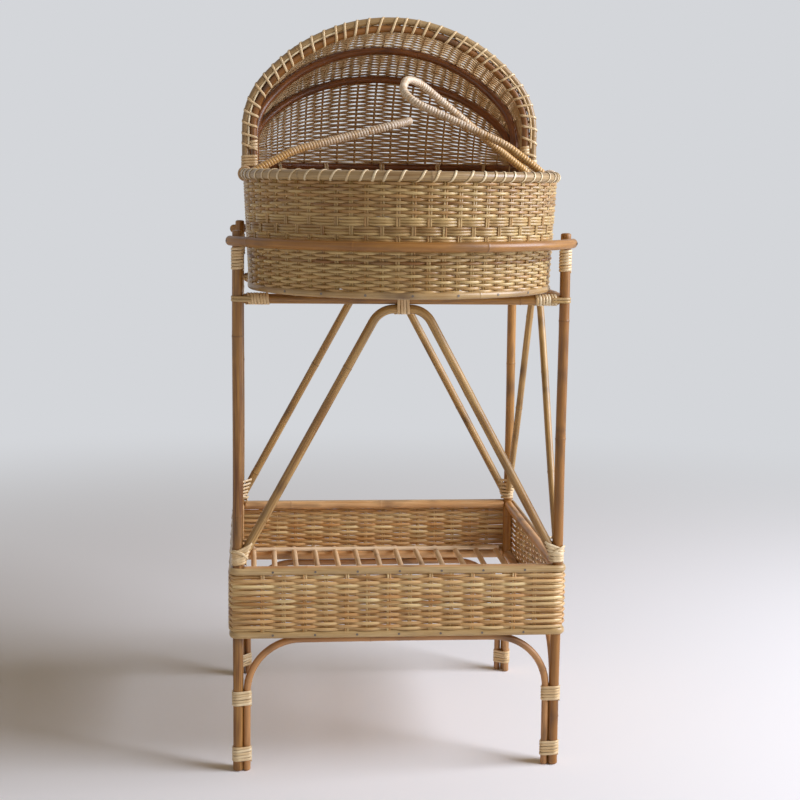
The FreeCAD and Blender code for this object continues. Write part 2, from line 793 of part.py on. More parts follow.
sections = []
row_span = (len(hood_tilt_degrees) - 1) / hood_rows
for step in range(2 * hood_rows + 1):
    outline = hood_section(step * row_span / 2)
    place, half_width = outline[:2]
    groove = hood_groove * (step % 2)
    outer = arch_edges(*outline, groove)
    inner = arch_edges(*outline, hood_shell_thickness - groove)
    outer_foot = half_width - groove
    inner_foot = half_width - hood_shell_thickness + groove
    left = line(place(-outer_foot, 0), place(-inner_foot, 0))
    right = line(place(inner_foot, 0), place(outer_foot, 0))
    sections.append(Part.Wire(outer + [left] + [edge.reversed() for edge in reversed(inner)] + [right]))
keep("hood_shell", Part.makeLoft(sections, True, True))

# Ribs inside the shell, their feet on the base rail
rib_inset = hood_shell_thickness + hood_rib_gap + hood_rib_diameter / 2
for spot, name in enumerate(("front", "rear"), 1):
    keep("hood_rib_" + name, tube(arch_edges(*hood_section(spot), rib_inset), hood_rib_diameter))

# Wound bindings tie the two poles together at their feet
foot_bindings = []
for side in (-1, 1):
    pair = around((0, 0, pole_r), (pole_pitch, 0, pole_r))
    binding = winding([pair] * hood_foot_turns, peel_pitch, peel_diameter)
    start = V(side * rim_x, hood_front, rim_top + peel_r + pole_gap)
    foot_bindings.append(placed(binding, start, V(-side, 0, 0), UP))
keep("hood_foot_bindings", *foot_bindings)

# Handles: two legs from the eyes on the rim to a rounded tip, a little arched
for name, side, reach, degrees, twist in (
    ("left", -1, handle_left_length, handle_left_degrees, 0),
    ("right", 1, handle_right_length, handle_right_degrees, handle_right_twist),
):
    lean = math.radians(degrees)
    ahead = V(-side * math.cos(lean), 0, math.sin(lean))
    above = V(side * math.sin(lean), 0, math.cos(lean))
    hinge = V(side * rim_x, 0, rim_z)

    def spot(run, lift, y):
        return hinge + ahead * run + above * lift + V(0, -y, 0)

    knee_share = handle_knee_run / reach
    near_knee = handle_near_foot + knee_share * (handle_near_tip - handle_near_foot)
    far_knee = handle_far_foot + knee_share * (handle_far_tip - handle_far_foot)
    points = [
        spot(0, 0, handle_near_foot),
        spot(handle_knee_run, handle_knee_rise, near_knee),
        spot(reach, 0, handle_near_tip),
        spot(reach, twist, handle_far_tip),
        spot(handle_knee_run, handle_knee_rise, far_knee),
        spot(0, 0, handle_far_foot),
    ]
    radii = [handle_knee_radius, handle_tip_radius, handle_tip_radius, handle_knee_radius]
    loop = tube(bent_path(points, radii), handle_diameter)
    start = V(side * rim_x, -handle_near_foot - overrun, rim_z)
    span = handle_near_foot + overrun
    loop = loop.cut(Part.makeCylinder(eye_outer + pole_gap, span, start, V(0, 1, 0)))
    keep("handle_" + name, max(loop.Solids, key=lambda solid: solid.Volume))
    eyes = []
    for foot_y in (-handle_near_foot, -handle_far_foot):
        start = V(side * rim_x, foot_y - eye_width / 2, rim_z)
        ring = Part.makeCylinder(eye_outer, eye_width, start, V(0, 1, 0))
        bore_start = start - V(0, overrun, 0)
        eyes.append(ring.cut(Part.makeCylinder(eye_inner, eye_width + 2 * overrun, bore_start, V(0, 1, 0))))
    keep("handle_" + name + "_eyes", *eyes)
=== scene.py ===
import math

import bpy
import numpy as np
from mathutils import Matrix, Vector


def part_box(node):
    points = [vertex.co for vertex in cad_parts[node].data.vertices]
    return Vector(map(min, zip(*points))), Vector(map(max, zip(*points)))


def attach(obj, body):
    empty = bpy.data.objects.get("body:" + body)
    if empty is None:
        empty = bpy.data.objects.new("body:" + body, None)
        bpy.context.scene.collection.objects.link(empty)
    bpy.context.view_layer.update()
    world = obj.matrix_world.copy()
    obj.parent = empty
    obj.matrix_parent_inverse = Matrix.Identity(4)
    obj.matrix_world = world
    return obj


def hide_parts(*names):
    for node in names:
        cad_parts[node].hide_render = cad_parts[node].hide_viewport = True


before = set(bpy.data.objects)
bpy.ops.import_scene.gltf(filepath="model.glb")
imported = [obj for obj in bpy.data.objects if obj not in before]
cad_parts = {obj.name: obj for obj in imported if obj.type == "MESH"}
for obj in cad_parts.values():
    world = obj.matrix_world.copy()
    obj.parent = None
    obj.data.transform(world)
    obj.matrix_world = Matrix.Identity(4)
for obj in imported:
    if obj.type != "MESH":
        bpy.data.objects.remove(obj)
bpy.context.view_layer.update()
scene = bpy.context.scene
scene.view_settings.view_transform = "Standard"

# Posts: four straight rattan poles that stand on the floor and carry everything else. The cane keeps
# its skin and is varnished; a raised joint with a dark scar shows every hand's breadth or two.
MM = 0.001
draw = np.random.default_rng(7)
CORNERS = {"front_left": (-1, -1), "front_right": (1, -1), "back_right": (1, 1), "back_left": (-1, 1)}
pole_step = 4.5 * MM
pole_sides = 16
pole_tone = (0.5, 0.14)
tone_drift = 0.12
tone_drift_length = 610 * MM
first_joint = 30 * MM
joint_spacing = (150 * MM, 290 * MM)
joint_ridge = 0.35 * MM
joint_ridge_width = 1.1 * MM
joint_swell_share = 0.025
joint_swell_width = 9 * MM
joint_stations = np.array([-9, -5, -2.6, -1.3, -0.5, 0.3, 1.2, 2.6, 5, 9]) * MM
scar_depth = (0.1, 0.7)
end_stations = np.array([0, 0.2, 0.7, 1.4, 2.4]) * MM
end_fall_share = 0.7
pole_sway = 0.35 * MM
sway_length = 370 * MM
closest_stations = 0.15 * MM
smudge_spacing = 90 * MM
smudge_reach = (6 * MM, 30 * MM)
smudge_depth = 0.8
nearly_upright = 0.1
grain_shift = 50.0


def unit(vectors):
    return vectors / np.linalg.norm(vectors, axis=-1, keepdims=True)


def middle(node):
    """The middle of a solid's box and half its size, in metres."""
    low, high = (np.array(corner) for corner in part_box(node))
    return (low + high) / 2, (high - low) / 2


def measured(line, closed=False):
    """A line, closed up where it is a ring, and the length run at each of its points."""
    line = np.array(line, float)
    if closed:
        line = np.vstack([line, line[:1]])
    steps = np.linalg.norm(np.diff(line, axis=0), axis=1)
    return line, np.r_[0, np.cumsum(steps)]


def at_runs(line, run, stations):
    """The points of a measured line at these lengths."""
    return np.column_stack([np.interp(stations, run, line[:, axis]) for axis in range(line.shape[1])])


def evenly(line, count, closed=False):
    """The same line as count points with even steps."""
    line, run = measured(line, closed)
    return at_runs(line, run, np.linspace(0, run[-1], count, endpoint=not closed))


def headings(path, closed=False):
    if closed:
        return unit(np.roll(path, -1, 0) - np.roll(path, 1, 0))
    return unit(np.gradient(path, axis=0))


def carried(path):
    """A direction square to the path, carried along it without twist."""
    ahead = headings(path)
    start = np.cross(ahead[0], (0, 0, 1))
    if np.linalg.norm(start) < nearly_upright:
        start = np.cross(ahead[0], (0, 1, 0))
    side = [unit(start)]
    for step in ahead[1:]:
        side.append(unit(side[-1] - step * (side[-1] @ step)))
    return np.array(side)


def sweep(path, across, half_width, half_thick, sides, closed=False, tone=0.5, joint=0.0, cast=None):
    """One cane along a path, wide along across: its points, faces, cane coordinates and tints."""
    count = len(path)
    ahead = headings(path, closed)
    across = np.broadcast_to(across, path.shape)
    across = unit(across - ahead * (across * ahead).sum(1, keepdims=True))
    above = np.cross(ahead, across)
    angle = np.arange(sides) * 2 * math.pi / sides
    wide = np.broadcast_to(half_width, count)[:, None] * np.cos(angle)
    deep = np.broadcast_to(half_thick, count)[:, None] * np.sin(angle)
    points = path[:, None] + across[:, None] * wide[..., None] + above[:, None] * deep[..., None]
    run = measured(path)[1] + draw.uniform(0, grain_shift)
    coords = np.stack([wide, deep, np.broadcast_to(run[:, None], wide.shape)], -1)
    cast = draw.uniform() if cast is None else cast
    tints = np.ones((count, sides, 4))
    for channel, value in enumerate((tone, joint, cast)):
        tints[..., channel] = np.broadcast_to(value, count)[:, None]
    rows = np.arange(count if closed else count - 1)[:, None]
    columns = np.arange(sides)
    following = (rows + 1) % count
    beside = (columns + 1) % sides
    grid = np.stack(np.broadcast_arrays(
        rows * sides + columns, rows * sides + beside,
        following * sides + beside, following * sides + columns), -1)
    faces = grid.reshape(-1, 4).tolist()
    if not closed:
        faces.append(columns[::-1].tolist())
        faces.append(((count - 1) * sides + columns).tolist())
    return points.reshape(-1, 3), faces, coords.reshape(-1, 3), tints.reshape(-1, 4)


def bell(apart, width):
    return np.exp(-(apart / width) ** 2)


def pole(line, radius, closed=False, spacing=joint_spacing):
    """A cane with a ridge and a scar at each joint, softly rounded at its ends."""
    line, run = measured(line, closed)
    length = run[-1]
    joints = [draw.uniform(first_joint, spacing[0])]
    while joints[-1] + spacing[1] < length:
        joints.append(joints[-1] + draw.uniform(*spacing))
    joints = np.array(joints)
    stations = np.r_[np.arange(0, length, pole_step), (joints[:, None] + joint_stations).ravel()]
    if not closed:
        stations = np.r_[stations, end_stations, length - end_stations]
    stations = np.unique(np.clip(stations, 0, length))
    stations = stations[np.r_[True, np.diff(stations) > closest_stations]]
    if closed:
        stations = stations[stations < length - pole_step / 4]
    apart = stations[:, None] - joints
    ridges = bell(apart, joint_ridge_width)
    scar = (ridges * draw.uniform(*scar_depth, len(joints))).sum(1)
    smudges = draw.uniform(0, length, max(1, int(length / smudge_spacing)))
    reach = draw.uniform(*smudge_reach, len(smudges))
    depth = draw.uniform(0, smudge_depth, len(smudges))
    smoke = (bell(stations[:, None] - smudges, reach) * depth).max(1)
    swell = bell(apart, joint_swell_width).sum(1)
    thick = radius * (1 + joint_swell_share * swell) + joint_ridge * ridges.sum(1)
    path = at_runs(line, run, stations)
    if closed:
        across = np.array((0, 0, 1))
    else:
        across = carried(path)
        edge = np.minimum(stations, length - stations)
        fall = np.clip(1 - edge / end_stations[-1], 0, 1)
        thick = thick * np.sqrt(1 - end_fall_share * fall ** 2)
        wave = np.sin(2 * math.pi * (stations / sway_length + draw.uniform()))
        path = path + across * (pole_sway * wave)[:, None]
    level = draw.normal(*pole_tone)
    drift = tone_drift * np.sin(2 * math.pi * (stations / tone_drift_length + draw.uniform()))
    return sweep(path, across, thick, thick, pole_sides, closed, level + drift, np.maximum(scar, smoke))


def piece(name, body, slot, finish, strands, *nodes):
    """One object made of canes, which rides on a body and stands for the nodes."""
    points, faces, coords, tints = [], [], [], []
    start = 0
    for strand in strands:
        points.append(strand[0])
        faces += [[start + corner for corner in face] for face in strand[1]]
        coords.append(strand[2])
        tints.append(strand[3])
        start += len(strand[0])
    mesh = bpy.data.meshes.new(name)
    mesh.from_pydata(np.concatenate(points).tolist(), [], faces)
    mesh.shade_smooth()
    cane = mesh.attributes.new("cane", "FLOAT_VECTOR", "POINT")
    cane.data.foreach_set("vector", np.concatenate(coords).astype(np.float32).ravel())
    tint = mesh.attributes.new("tint", "FLOAT_COLOR", "POINT")
    tint.data.foreach_set("color", np.concatenate(tints).astype(np.float32).ravel())
    mesh.materials.append(finish)
    made = bpy.data.objects.new(name, mesh)
    scene.collection.objects.link(made)
    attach(made, body)
    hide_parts(*nodes)


def colour(code):
    """An sRGB hex value as linear colour."""
    parts = [int(code[place:place + 2], 16) / 255 for place in (1, 3, 5)]
    linear = [part / 12.92 if part <= 0.04045 else ((part + 0.055) / 1.055) ** 2.4 for part in parts]
    return (*linear, 1)


def add(tree, kind, settings=None, **inputs):
    """Adds a shader node with its settings; an input is linked where it is a socket, and set otherwise."""
    node = tree.nodes.new("ShaderNode" + kind)
    for key, value in (settings or {}).items():
        setattr(node, key, value)
    for key, value in inputs.items():
        socket = node.inputs[int(key[2:])] if key[:2] == "at" else node.inputs[key.replace("_", " ")]
        if isinstance(value, bpy.types.NodeSocket):
            tree.links.new(value, socket)
        else:
            socket.default_value = value
    return node


def cane_finish(name, pale, deep, cast, scar, grain=1.9, grain_length=70, patch=0.5, roughness=0.42,
                coat=0.12):
    """Cane in its own colours: lines along it, drawn coarser than its fibres so that they show, weathered
    patches and dark joints; on wound peel the same dark marks are painted shade in the grooves. Sizes in mm."""
    spot_width, spot_length, bump_depth = 11.1, 62.5, 0.25
    material = bpy.data.materials.new(name)
    material.use_nodes = True
    tree = material.node_tree
    tree.nodes.clear()
    place = add(tree, "Attribute", {"attribute_name": "cane"}).outputs["Vector"]
    tint = add(tree, "Attribute", {"attribute_name": "tint"}).outputs["Color"]
    # The second channel holds joint scars and smudges, or painted shade in the grooves of wound peel.
    tone, joint, hue = add(tree, "SeparateColor", Color=tint).outputs
    fine = (1 / (grain * MM), 1 / (grain * MM), 1 / (grain_length * MM))
    lines = add(tree, "VectorMath", {"operation": "MULTIPLY"}, at0=place, at1=fine)
    lines = add(tree, "TexNoise", Vector=lines.outputs[0], Scale=1.0, Detail=1.0).outputs[0]
    coarse = (1 / (spot_width * MM), 1 / (spot_width * MM), 1 / (spot_length * MM))
    spots = add(tree, "VectorMath", {"operation": "MULTIPLY"}, at0=place, at1=coarse)
    spots = add(tree, "TexNoise", Vector=spots.outputs[0], Scale=1.0, Detail=1.5).outputs[0]
    spread = add(tree, "MapRange", Value=lines, From_Min=0.3, From_Max=0.7, To_Min=-0.3, To_Max=0.3)
    drift = add(tree, "MapRange", Value=spots, From_Min=0.3, From_Max=0.7, To_Min=-0.25, To_Max=0.25)
    level = add(tree, "Math", {"operation": "ADD"}, at0=spread.outputs[0], at1=drift.outputs[0]).outputs[0]
    level = add(tree, "Math", {"operation": "ADD", "use_clamp": True}, at0=level, at1=tone).outputs[0]
    body = add(tree, "Mix", {"data_type": "RGBA"}, at0=level, at6=colour(deep), at7=colour(pale)).outputs[2]
    lean = add(tree, "MapRange", Value=hue, From_Min=0.4, From_Max=1.0, To_Min=0.0, To_Max=0.75).outputs[0]
    body = add(tree, "Mix", {"data_type": "RGBA"}, at0=lean, at6=body, at7=colour(cast)).outputs[2]
    worn = add(tree, "MapRange", Value=spots, From_Min=0.52, From_Max=0.74, To_Min=0.0, To_Max=patch)
    # Darkens towards the scar colour: real scars on poles, painted shade in the grooves of wound peel.
    stain_and_groove_shade = add(tree, "MapRange", Value=spots, From_Min=0.36, From_Max=0.6, To_Min=0.2, To_Max=1.0)
    stain_and_groove_shade = add(tree, "Math", {"operation": "MULTIPLY"}, at0=stain_and_groove_shade.outputs[0], at1=joint)
    marks = add(tree, "Math", {"operation": "MAXIMUM"}, at0=worn.outputs[0], at1=stain_and_groove_shade.outputs[0]).outputs[0]
    body = add(tree, "Mix", {"data_type": "RGBA"}, at0=marks, at6=body, at7=colour(scar)).outputs[2]
    gloss = add(tree, "MapRange", Value=lines, From_Min=0.3, From_Max=0.7, To_Min=roughness - 0.08,
                To_Max=roughness + 0.1).outputs[0]
    bump = add(tree, "Bump", Strength=0.15, Distance=bump_depth * MM, Height=lines).outputs[0]
    skin = add(tree, "BsdfPrincipled", Base_Color=body, Roughness=gloss, Normal=bump, IOR=1.5,
               Coat_Weight=coat, Coat_Roughness=0.3)
    add(tree, "OutputMaterial", Surface=skin.outputs[0])
    return material


# Varnished rattan with its skin on: orange brown, streaked lengthways, with dark smudges from the smoke
# cure and near-black joint scars, under a thin satin varnish.
rattan = cane_finish("varnished_rattan", "#ba8743", "#724516", "#a16b2a", "#392013", patch=0.6)
for corner in CORNERS:
    centre, half = middle("post_" + corner)
    rise = np.array((0, 0, half[2]))
    piece("rattan_post_" + corner, "stand", "pole", rattan, [pole([centre - rise, centre + rise], half[0])],
          "post_" + corner)
post_x, post_y = abs(middle("post_front_left")[0][:2])
post_r = middle("post_front_left")[1][0]

# Leg arches: one slimmer rattan pole on each side, steamed and bent, standing beside the posts on the
# floor and running under the tray. A tan cane, paler than the posts.
tan_rattan = cane_finish("tan_rattan", "#d6a46c", "#9a683a", "#b98046", "#4c2e18", patch=0.6)
SIDES = (("front", 0), ("back", 0), ("left", 1), ("right", 1))
arch_bend = 78 * MM
bend_points = 15


def bent(points, radii):
    """Straight runs with a round bend of its own radius at each inner corner."""
    points = [np.array(point, float) for point in points]
    line = [points[0]]
    for before, corner, after, radius in zip(points, points[1:], points[2:], radii):
        back, ahead = unit(before - corner), unit(after - corner)
        half = math.acos(back @ ahead) / 2
        centre = corner + unit(back + ahead) * radius / math.sin(half)
        first = corner + back * radius / math.tan(half) - centre
        last = corner + ahead * radius / math.tan(half) - centre
        turn = math.pi - 2 * half
        for share in np.linspace(0, 1, bend_points):
            spoke = first * math.sin((1 - share) * turn) + last * math.sin(share * turn)
            line.append(centre + spoke / math.sin(turn))
    line.append(points[-1])
    return np.array(line)


for side, axis in SIDES:
    centre, half = middle("leg_arch_" + side)
    arch_r = half[1 - axis]
    reach = np.zeros(3)
    reach[axis] = half[axis] - arch_r
    floor_spot = np.array((centre[0], centre[1], 0))
    top_spot = floor_spot + (0, 0, 2 * half[2] - arch_r)
    line = bent([floor_spot - reach, top_spot - reach, top_spot + reach, floor_spot + reach], [arch_bend] * 2)
    piece("rattan_leg_arch_" + side, "stand", "pole", tan_rattan, [pole(line, arch_r)], "leg_arch_" + side)

# Tray rails: straight rattan poles fixed between the posts at the top and the bottom of the tray. They are
# a more orange cane than the posts.
orange_rattan = cane_finish("orange_rattan", "#ebc08a", "#b57d43", "#cf9655", "#5c371b", patch=0.7)


def straight(node):
    """The middle line and the radius of a straight pole that lies along X or Y."""
    centre, half = middle(node)
    axis = int(np.argmax(half))
    reach = np.zeros(3)
    reach[axis] = half[axis]
    return [centre - reach, centre + reach], half[2]


for level in ("top", "bottom"):
    for side, _ in SIDES:
        node = "tray_" + level + "_rail_" + side
        piece("rattan_" + node, "stand", "brown_pole", orange_rattan, [pole(*straight(node))], node)

# Slats: round peeled canes laid side by side on the front and back bottom rails as the tray's floor, with
# a pale strip of cane across them near each end. The bare core is pinkish beige and dull.
slat_cane = cane_finish("peeled_cane", "#f0d6b0", "#cba474", "#dfb684", "#8a6446", grain=0.7, patch=0.3,
                        roughness=0.55, coat=0.0)
slat_count = 13
slat_joint_spacing = (260 * MM, 420 * MM)
strip_from_end = 26 * MM
strip_half_width = 4 * MM
strip_half_thick = 3.2 * MM
strip_points = 40
strip_sides = 12
centre, half = middle("tray_slats")
slat_top = centre[2] + half[2]
slats = []
for x in np.linspace(half[2] - half[0], half[0] - half[2], slat_count):
    ends = [(x, -half[1], centre[2]), (x, half[1], centre[2])]
    slats.append(pole(ends, half[2], spacing=slat_joint_spacing))
for end in (-1, 1):
    strip_y = centre[1] + end * (half[1] - strip_from_end)
    strip = evenly([(-half[0], strip_y, slat_top), (half[0], strip_y, slat_top)], strip_points)
    slats.append(sweep(strip, (0, 1, 0), strip_half_width, strip_half_thick, strip_sides, tone=1.0, cast=0.0))
piece("cane_tray_slats", "stand", "slat", slat_cane, slats, "tray_slats")

# Tray sides: round canes woven in and out of pairs of slim stakes, once round all four posts. The core
# is straw coloured, and each cane differs a little from the next.
straw = cane_finish("woven_straw_cane", "#efd398", "#a26e2e", "#cf9858", "#5e3d1a", grain=0.8,
                    grain_length=60, patch=0.4, roughness=0.38, coat=0.2)
weave_out = 10.4 * MM
tray_row_pitch = 4.3 * MM
tray_stakes_a_side = 14
tray_first_stake = 198 * MM
weaver_half_width = 2.58 * MM
weaver_half_thick = 1.6 * MM
weaver_swing = 2.5 * MM
weaver_blunt = 0.6
weaver_sides = 8
weaver_tone = (0.58, 0.2)
weaver_tone_wander = 0.26
weaver_tone_length = 300 * MM
row_wander = 0.45 * MM
row_wander_length = 170 * MM
wave_shares = (1, 0.43, 0.19)
stake_half_width = 1.5 * MM
stake_half_thick = 0.85 * MM
stake_apart = 1.6 * MM
stake_tuck = 4 * MM
stake_tone = (0.62, 0.12)
stake_points = 4
steps_between = 6
corner_points = 9
up = np.array((0.0, 0.0, 1.0))


def rounded_ring(half_x, half_y, radius):
    """A flat ring with straight sides and round corners, anticlockwise from the right side's middle."""
    points = [(half_x, 0, 0)]
    for turn, (x, y) in enumerate(((1, 1), (-1, 1), (-1, -1), (1, -1))):
        for angle in np.linspace(turn, turn + 1, corner_points) * math.pi / 2:
            points.append((x * (half_x - radius) + radius * math.cos(angle),
                           y * (half_y - radius) + radius * math.sin(angle), 0))
    return np.array(points)


def wander(run, size, length):
    """A slow uneven drift along a length run, so that no row is ruler straight."""
    drift = np.zeros(len(run))
    for share in wave_shares:
        drift += share * np.sin(2 * math.pi * (run / (length * share) + draw.uniform()))
    return drift * size / 2


def woven_row(path, out, beside, swing, half_width, half_thick, closed, blunt=weaver_blunt):
    """A weaver that swings out and in along a path; its swing is a number from -1 to 1 at each point."""
    run = measured(path)[1]
    swing = np.sign(swing) * np.abs(swing) ** blunt
    path = path + out * (swing * weaver_swing)[:, None]
    path = path + beside * wander(run, row_wander, row_wander_length)[:, None]
    tone = draw.normal(*weaver_tone) + wander(run, weaver_tone_wander, weaver_tone_length)
    return sweep(path, beside, half_width, half_thick, weaver_sides, closed, tone)


def stake_pair(path, beside):
    """Two slim stakes side by side."""
    return [
        sweep(path + beside * offset, beside, stake_half_width, stake_half_thick, weaver_sides,
              tone=draw.normal(*stake_tone))
        for offset in (-stake_apart, stake_apart)
    ]


low, high = (corner[2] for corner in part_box("tray_panel_front"))
line, run = measured(rounded_ring(post_x + weave_out, post_y + weave_out, weave_out), True)
side_stakes = np.linspace(-tray_first_stake, tray_first_stake, tray_stakes_a_side)
side_middles = run[-1] / len(SIDES) * np.arange(len(SIDES))
stake_runs = np.sort(((side_middles[:, None] + side_stakes) % run[-1]).ravel())
stake_gaps = np.diff(np.r_[stake_runs, stake_runs[0] + run[-1]])
stations = (stake_runs[:, None] + stake_gaps[:, None] * np.arange(steps_between) / steps_between).ravel()
swing = np.cos(math.pi * np.arange(len(stations)) / steps_between)
row_path = at_runs(line, run, stations % run[-1])
row_out = np.cross(headings(row_path, True), up)
weave = []
for index, z in enumerate(np.arange(low + tray_row_pitch / 2, high, tray_row_pitch)):
    weave.append(woven_row(row_path + up * z, row_out, up, swing * (-1) ** index, weaver_half_width,
                           weaver_half_thick, True))
for spot, out in zip(row_path[::steps_between], row_out[::steps_between]):
    upright = spot + np.linspace(low - stake_tuck, high + stake_tuck, stake_points)[:, None] * up
    weave += stake_pair(upright, np.cross(up, out))
piece("woven_tray_sides", "stand", "weave", straw, weave, *["tray_panel_" + side for side, _ in SIDES])

# Edgings: half-round canes bent round the outside of the posts above and below the weave, and nailed to
# the rails behind. Peeled and varnished, olive gold.
gold_cane = cane_finish("varnished_gold_cane", "#d2b583", "#a27b45", "#bf9b5e", "#5f4123", grain=0.7,
                        patch=0.4, roughness=0.38)
edging_half_thick = 3.4 * MM
edging_points = 420
edging_sides = 14
edging_tone = 0.55
edging_tone_wander = 0.2
edging_tone_length = 400 * MM
for level in ("top", "bottom"):
    node = "tray_edging_" + level
    centre, half = middle(node)
    ring = rounded_ring(half[0] - edging_half_thick, half[1] - edging_half_thick, weave_out)
    path = evenly(ring + up * centre[2], edging_points, True)
    tone = edging_tone + wander(measured(path)[1], edging_tone_wander, edging_tone_length)
    strip = sweep(path, up, half[2], edging_half_thick, edging_sides, True, tone)
    piece("cane_" + node, "stand", "cane", gold_cane, [strip], node)

# Nails: small round steel nails that hold the edgings, the hoops and the basket's base rod. Their heads stay
# as modelled in the solids. Dull steel, grey with brown specks of rust.
rust_grain = 1.5 * MM
nail_steel = bpy.data.materials.new("dull_nail_steel")
nail_steel.use_nodes = True
tree = nail_steel.node_tree
tree.nodes.clear()
place = add(tree, "TexCoord").outputs["Object"]
rust = add(tree, "TexNoise", Vector=place, Scale=1 / rust_grain, Detail=3.0).outputs[0]
metal = add(tree, "Mix", {"data_type": "RGBA"}, at0=rust, at6=colour("#4d4036"), at7=colour("#9a9086"))
dull = add(tree, "MapRange", Value=rust, From_Min=0.3, From_Max=0.7, To_Min=0.4, To_Max=0.65).outputs[0]
head = add(tree, "BsdfPrincipled", Base_Color=metal.outputs[2], Metallic=1.0, Roughness=dull).outputs[0]
add(tree, "OutputMaterial", Surface=head)
for node in ("tray_nails", "hoop_nails", "basket_nails"):
    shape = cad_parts[node].data
    shape.materials.clear()
    shape.materials.append(nail_steel)

# Crossbars and side rails: straight rattan poles between the posts at one height. The basket rests on the
# crossbars.
for node in ("crossbar_front", "crossbar_back", "side_rail_left", "side_rail_right"):
    piece("rattan_" + node, "stand", "pole", rattan, [pole(*straight(node))], node)
bar_z = middle("crossbar_front")[0][2]
bar_r = middle("crossbar_front")[1][2]

# Braces: one pole on each side, bent to a rounded inverted V, its flat top bound under the bar above and
# its feet lashed to the posts over the tray. They are a younger, yellower cane than the posts.
yellow_rattan = cane_finish("yellow_rattan", "#d2ab6a", "#8c622d", "#b98d4a", "#563718", patch=0.5)
brace_bend = 35 * MM
brace_flat = 22 * MM
brace_foot_z = 323 * MM
brace_foot_sink = 1.5 * MM
touch = 0.3 * MM
slope_rounds = 12
brace_slopes = {}
for side, axis in SIDES:
    centre, half = middle("brace_" + side)
    brace_r = half[1 - axis]
    apex_z = centre[2] + half[2] - brace_r
    half_span = (post_x, post_y)[axis]
    corner = brace_flat / 2
    for _ in range(slope_rounds):
        slope = (apex_z - brace_foot_z) / (half_span - post_r - touch - corner)
        corner = brace_flat / 2 + brace_bend * math.tan(math.atan(slope) / 2)
    brace_slopes[axis] = (slope, brace_r)
    ahead = np.eye(3)[axis]
    foot_run = half_span - post_r + brace_foot_sink
    foot = centre * (1 - ahead) * (1, 1, 0) + up * (brace_foot_z - (brace_foot_sink + touch) * slope)
    apex = centre * (1 - ahead) * (1, 1, 0) + up * apex_z
    line = [foot - ahead * foot_run, apex - ahead * corner, apex + ahead * corner, foot + ahead * foot_run]
    line = bent(line, [brace_bend] * 2)
    piece("rattan_brace_" + side, "stand", "pole", yellow_rattan, [pole(line, brace_r)], "brace_" + side)

# Hoops: a stout pole bowed round each end of the basket, notched over the outside of two posts and
# nailed there. The same varnished cane as the posts.
hoop_notch = 5 * MM
hoop_end_share = 0.55
hoop_points = 61
hoop_joint_spacing = (170 * MM, 260 * MM)


def points_at(x, y, z):
    """Points from their coordinates, any of which may be one number for all of them."""
    return np.column_stack(np.broadcast_arrays(x, y, z))


for end, name in ((-1, "front"), (1, "back")):
    centre, half = middle("hoop_" + name)
    hoop_r = half[2]
    reach = abs(centre[1]) + half[1] - hoop_r
    seat = reach - post_r - hoop_r + hoop_notch
    bow_y = (seat ** 2 - post_x ** 2 - post_y ** 2) / (2 * (seat - post_y))
    bow_r = reach - bow_y
    spread = math.asin((half[0] - hoop_r * hoop_end_share) / bow_r)
    angle = np.linspace(-spread, spread, hoop_points)
    line = points_at(bow_r * np.sin(angle), end * (bow_y + bow_r * np.cos(angle)), centre[2])
    hoop = pole(line, hoop_r, spacing=hoop_joint_spacing)
    piece("rattan_hoop_" + name, "stand", "pole", rattan, [hoop], "hoop_" + name)

# Peel bindings: flat strips of split cane skin wound close round the poles, their ends tucked under. Cream,
# smooth and glossy, each turn its own shade.
peel = cane_finish("split_cane_peel", "#f0ddb6", "#c9a368", "#e0bb86", "#8c6a3f", grain=0.6, grain_length=30,
                   patch=0.25, roughness=0.33, coat=0.25)
peel_half_width = 2.1 * MM
peel_half_thick = 0.8 * MM
peel_pitch = 4.4 * MM
peel_gap = 0.1 * MM
peel_sides = 8
peel_tone = (0.55, 0.2)
turn_tilt = 0.018
turn_points = 40
hull_points = 240
post_turns = 7
bar_turns = 7
apex_turns = 4


def hull(circles, count=turn_points):
    """Points of the closed line drawn tight round circles given as x, y and radius."""
    angle = np.linspace(0, 2 * math.pi, hull_points, endpoint=False)
    out = np.column_stack([np.cos(angle), np.sin(angle)])
    table = np.array(circles)
    best = np.argmax(out @ table[:, :2].T + table[:, 2], 1)
    return evenly(table[best, :2] + table[best, 2:] * out, count, True)


def bind(turns, origin, x_axis, z_axis, pitch=peel_pitch, fan=(0, 0), layer=0):
    """A strip of peel wound up along z_axis round the poles of each turn, given as x, y and radius."""
    lay = peel_half_thick * (1 + 2 * layer) + peel_gap
    loops = [hull([(x, y, radius + lay) for x, y, radius in circles]) for circles in turns]
    share = np.linspace(0, 1, turn_points, endpoint=False)[:, None]
    plan = np.vstack([low + share * (high - low) for low, high in zip(loops, loops[1:])])
    rise = np.arange(len(plan))[:, None] / turn_points * pitch
    rise = rise + plan @ np.array(fan)[:, None] * np.linspace(0, 1, len(plan))[:, None]
    tilts = np.repeat(draw.normal(0, turn_tilt, (len(loops) - 1, 2)), turn_points, 0)
    rise = rise + (plan * tilts).sum(1, keepdims=True)
    x_axis, z_axis = np.array(x_axis, float), np.array(z_axis, float)
    path = origin + plan[:, :1] * x_axis + plan[:, 1:] * np.cross(z_axis, x_axis) + rise * z_axis
    tone = np.repeat(draw.normal(*peel_tone, len(loops) - 1), turn_points)
    return sweep(path, z_axis, peel_half_width, peel_half_thick, peel_sides, tone=tone)


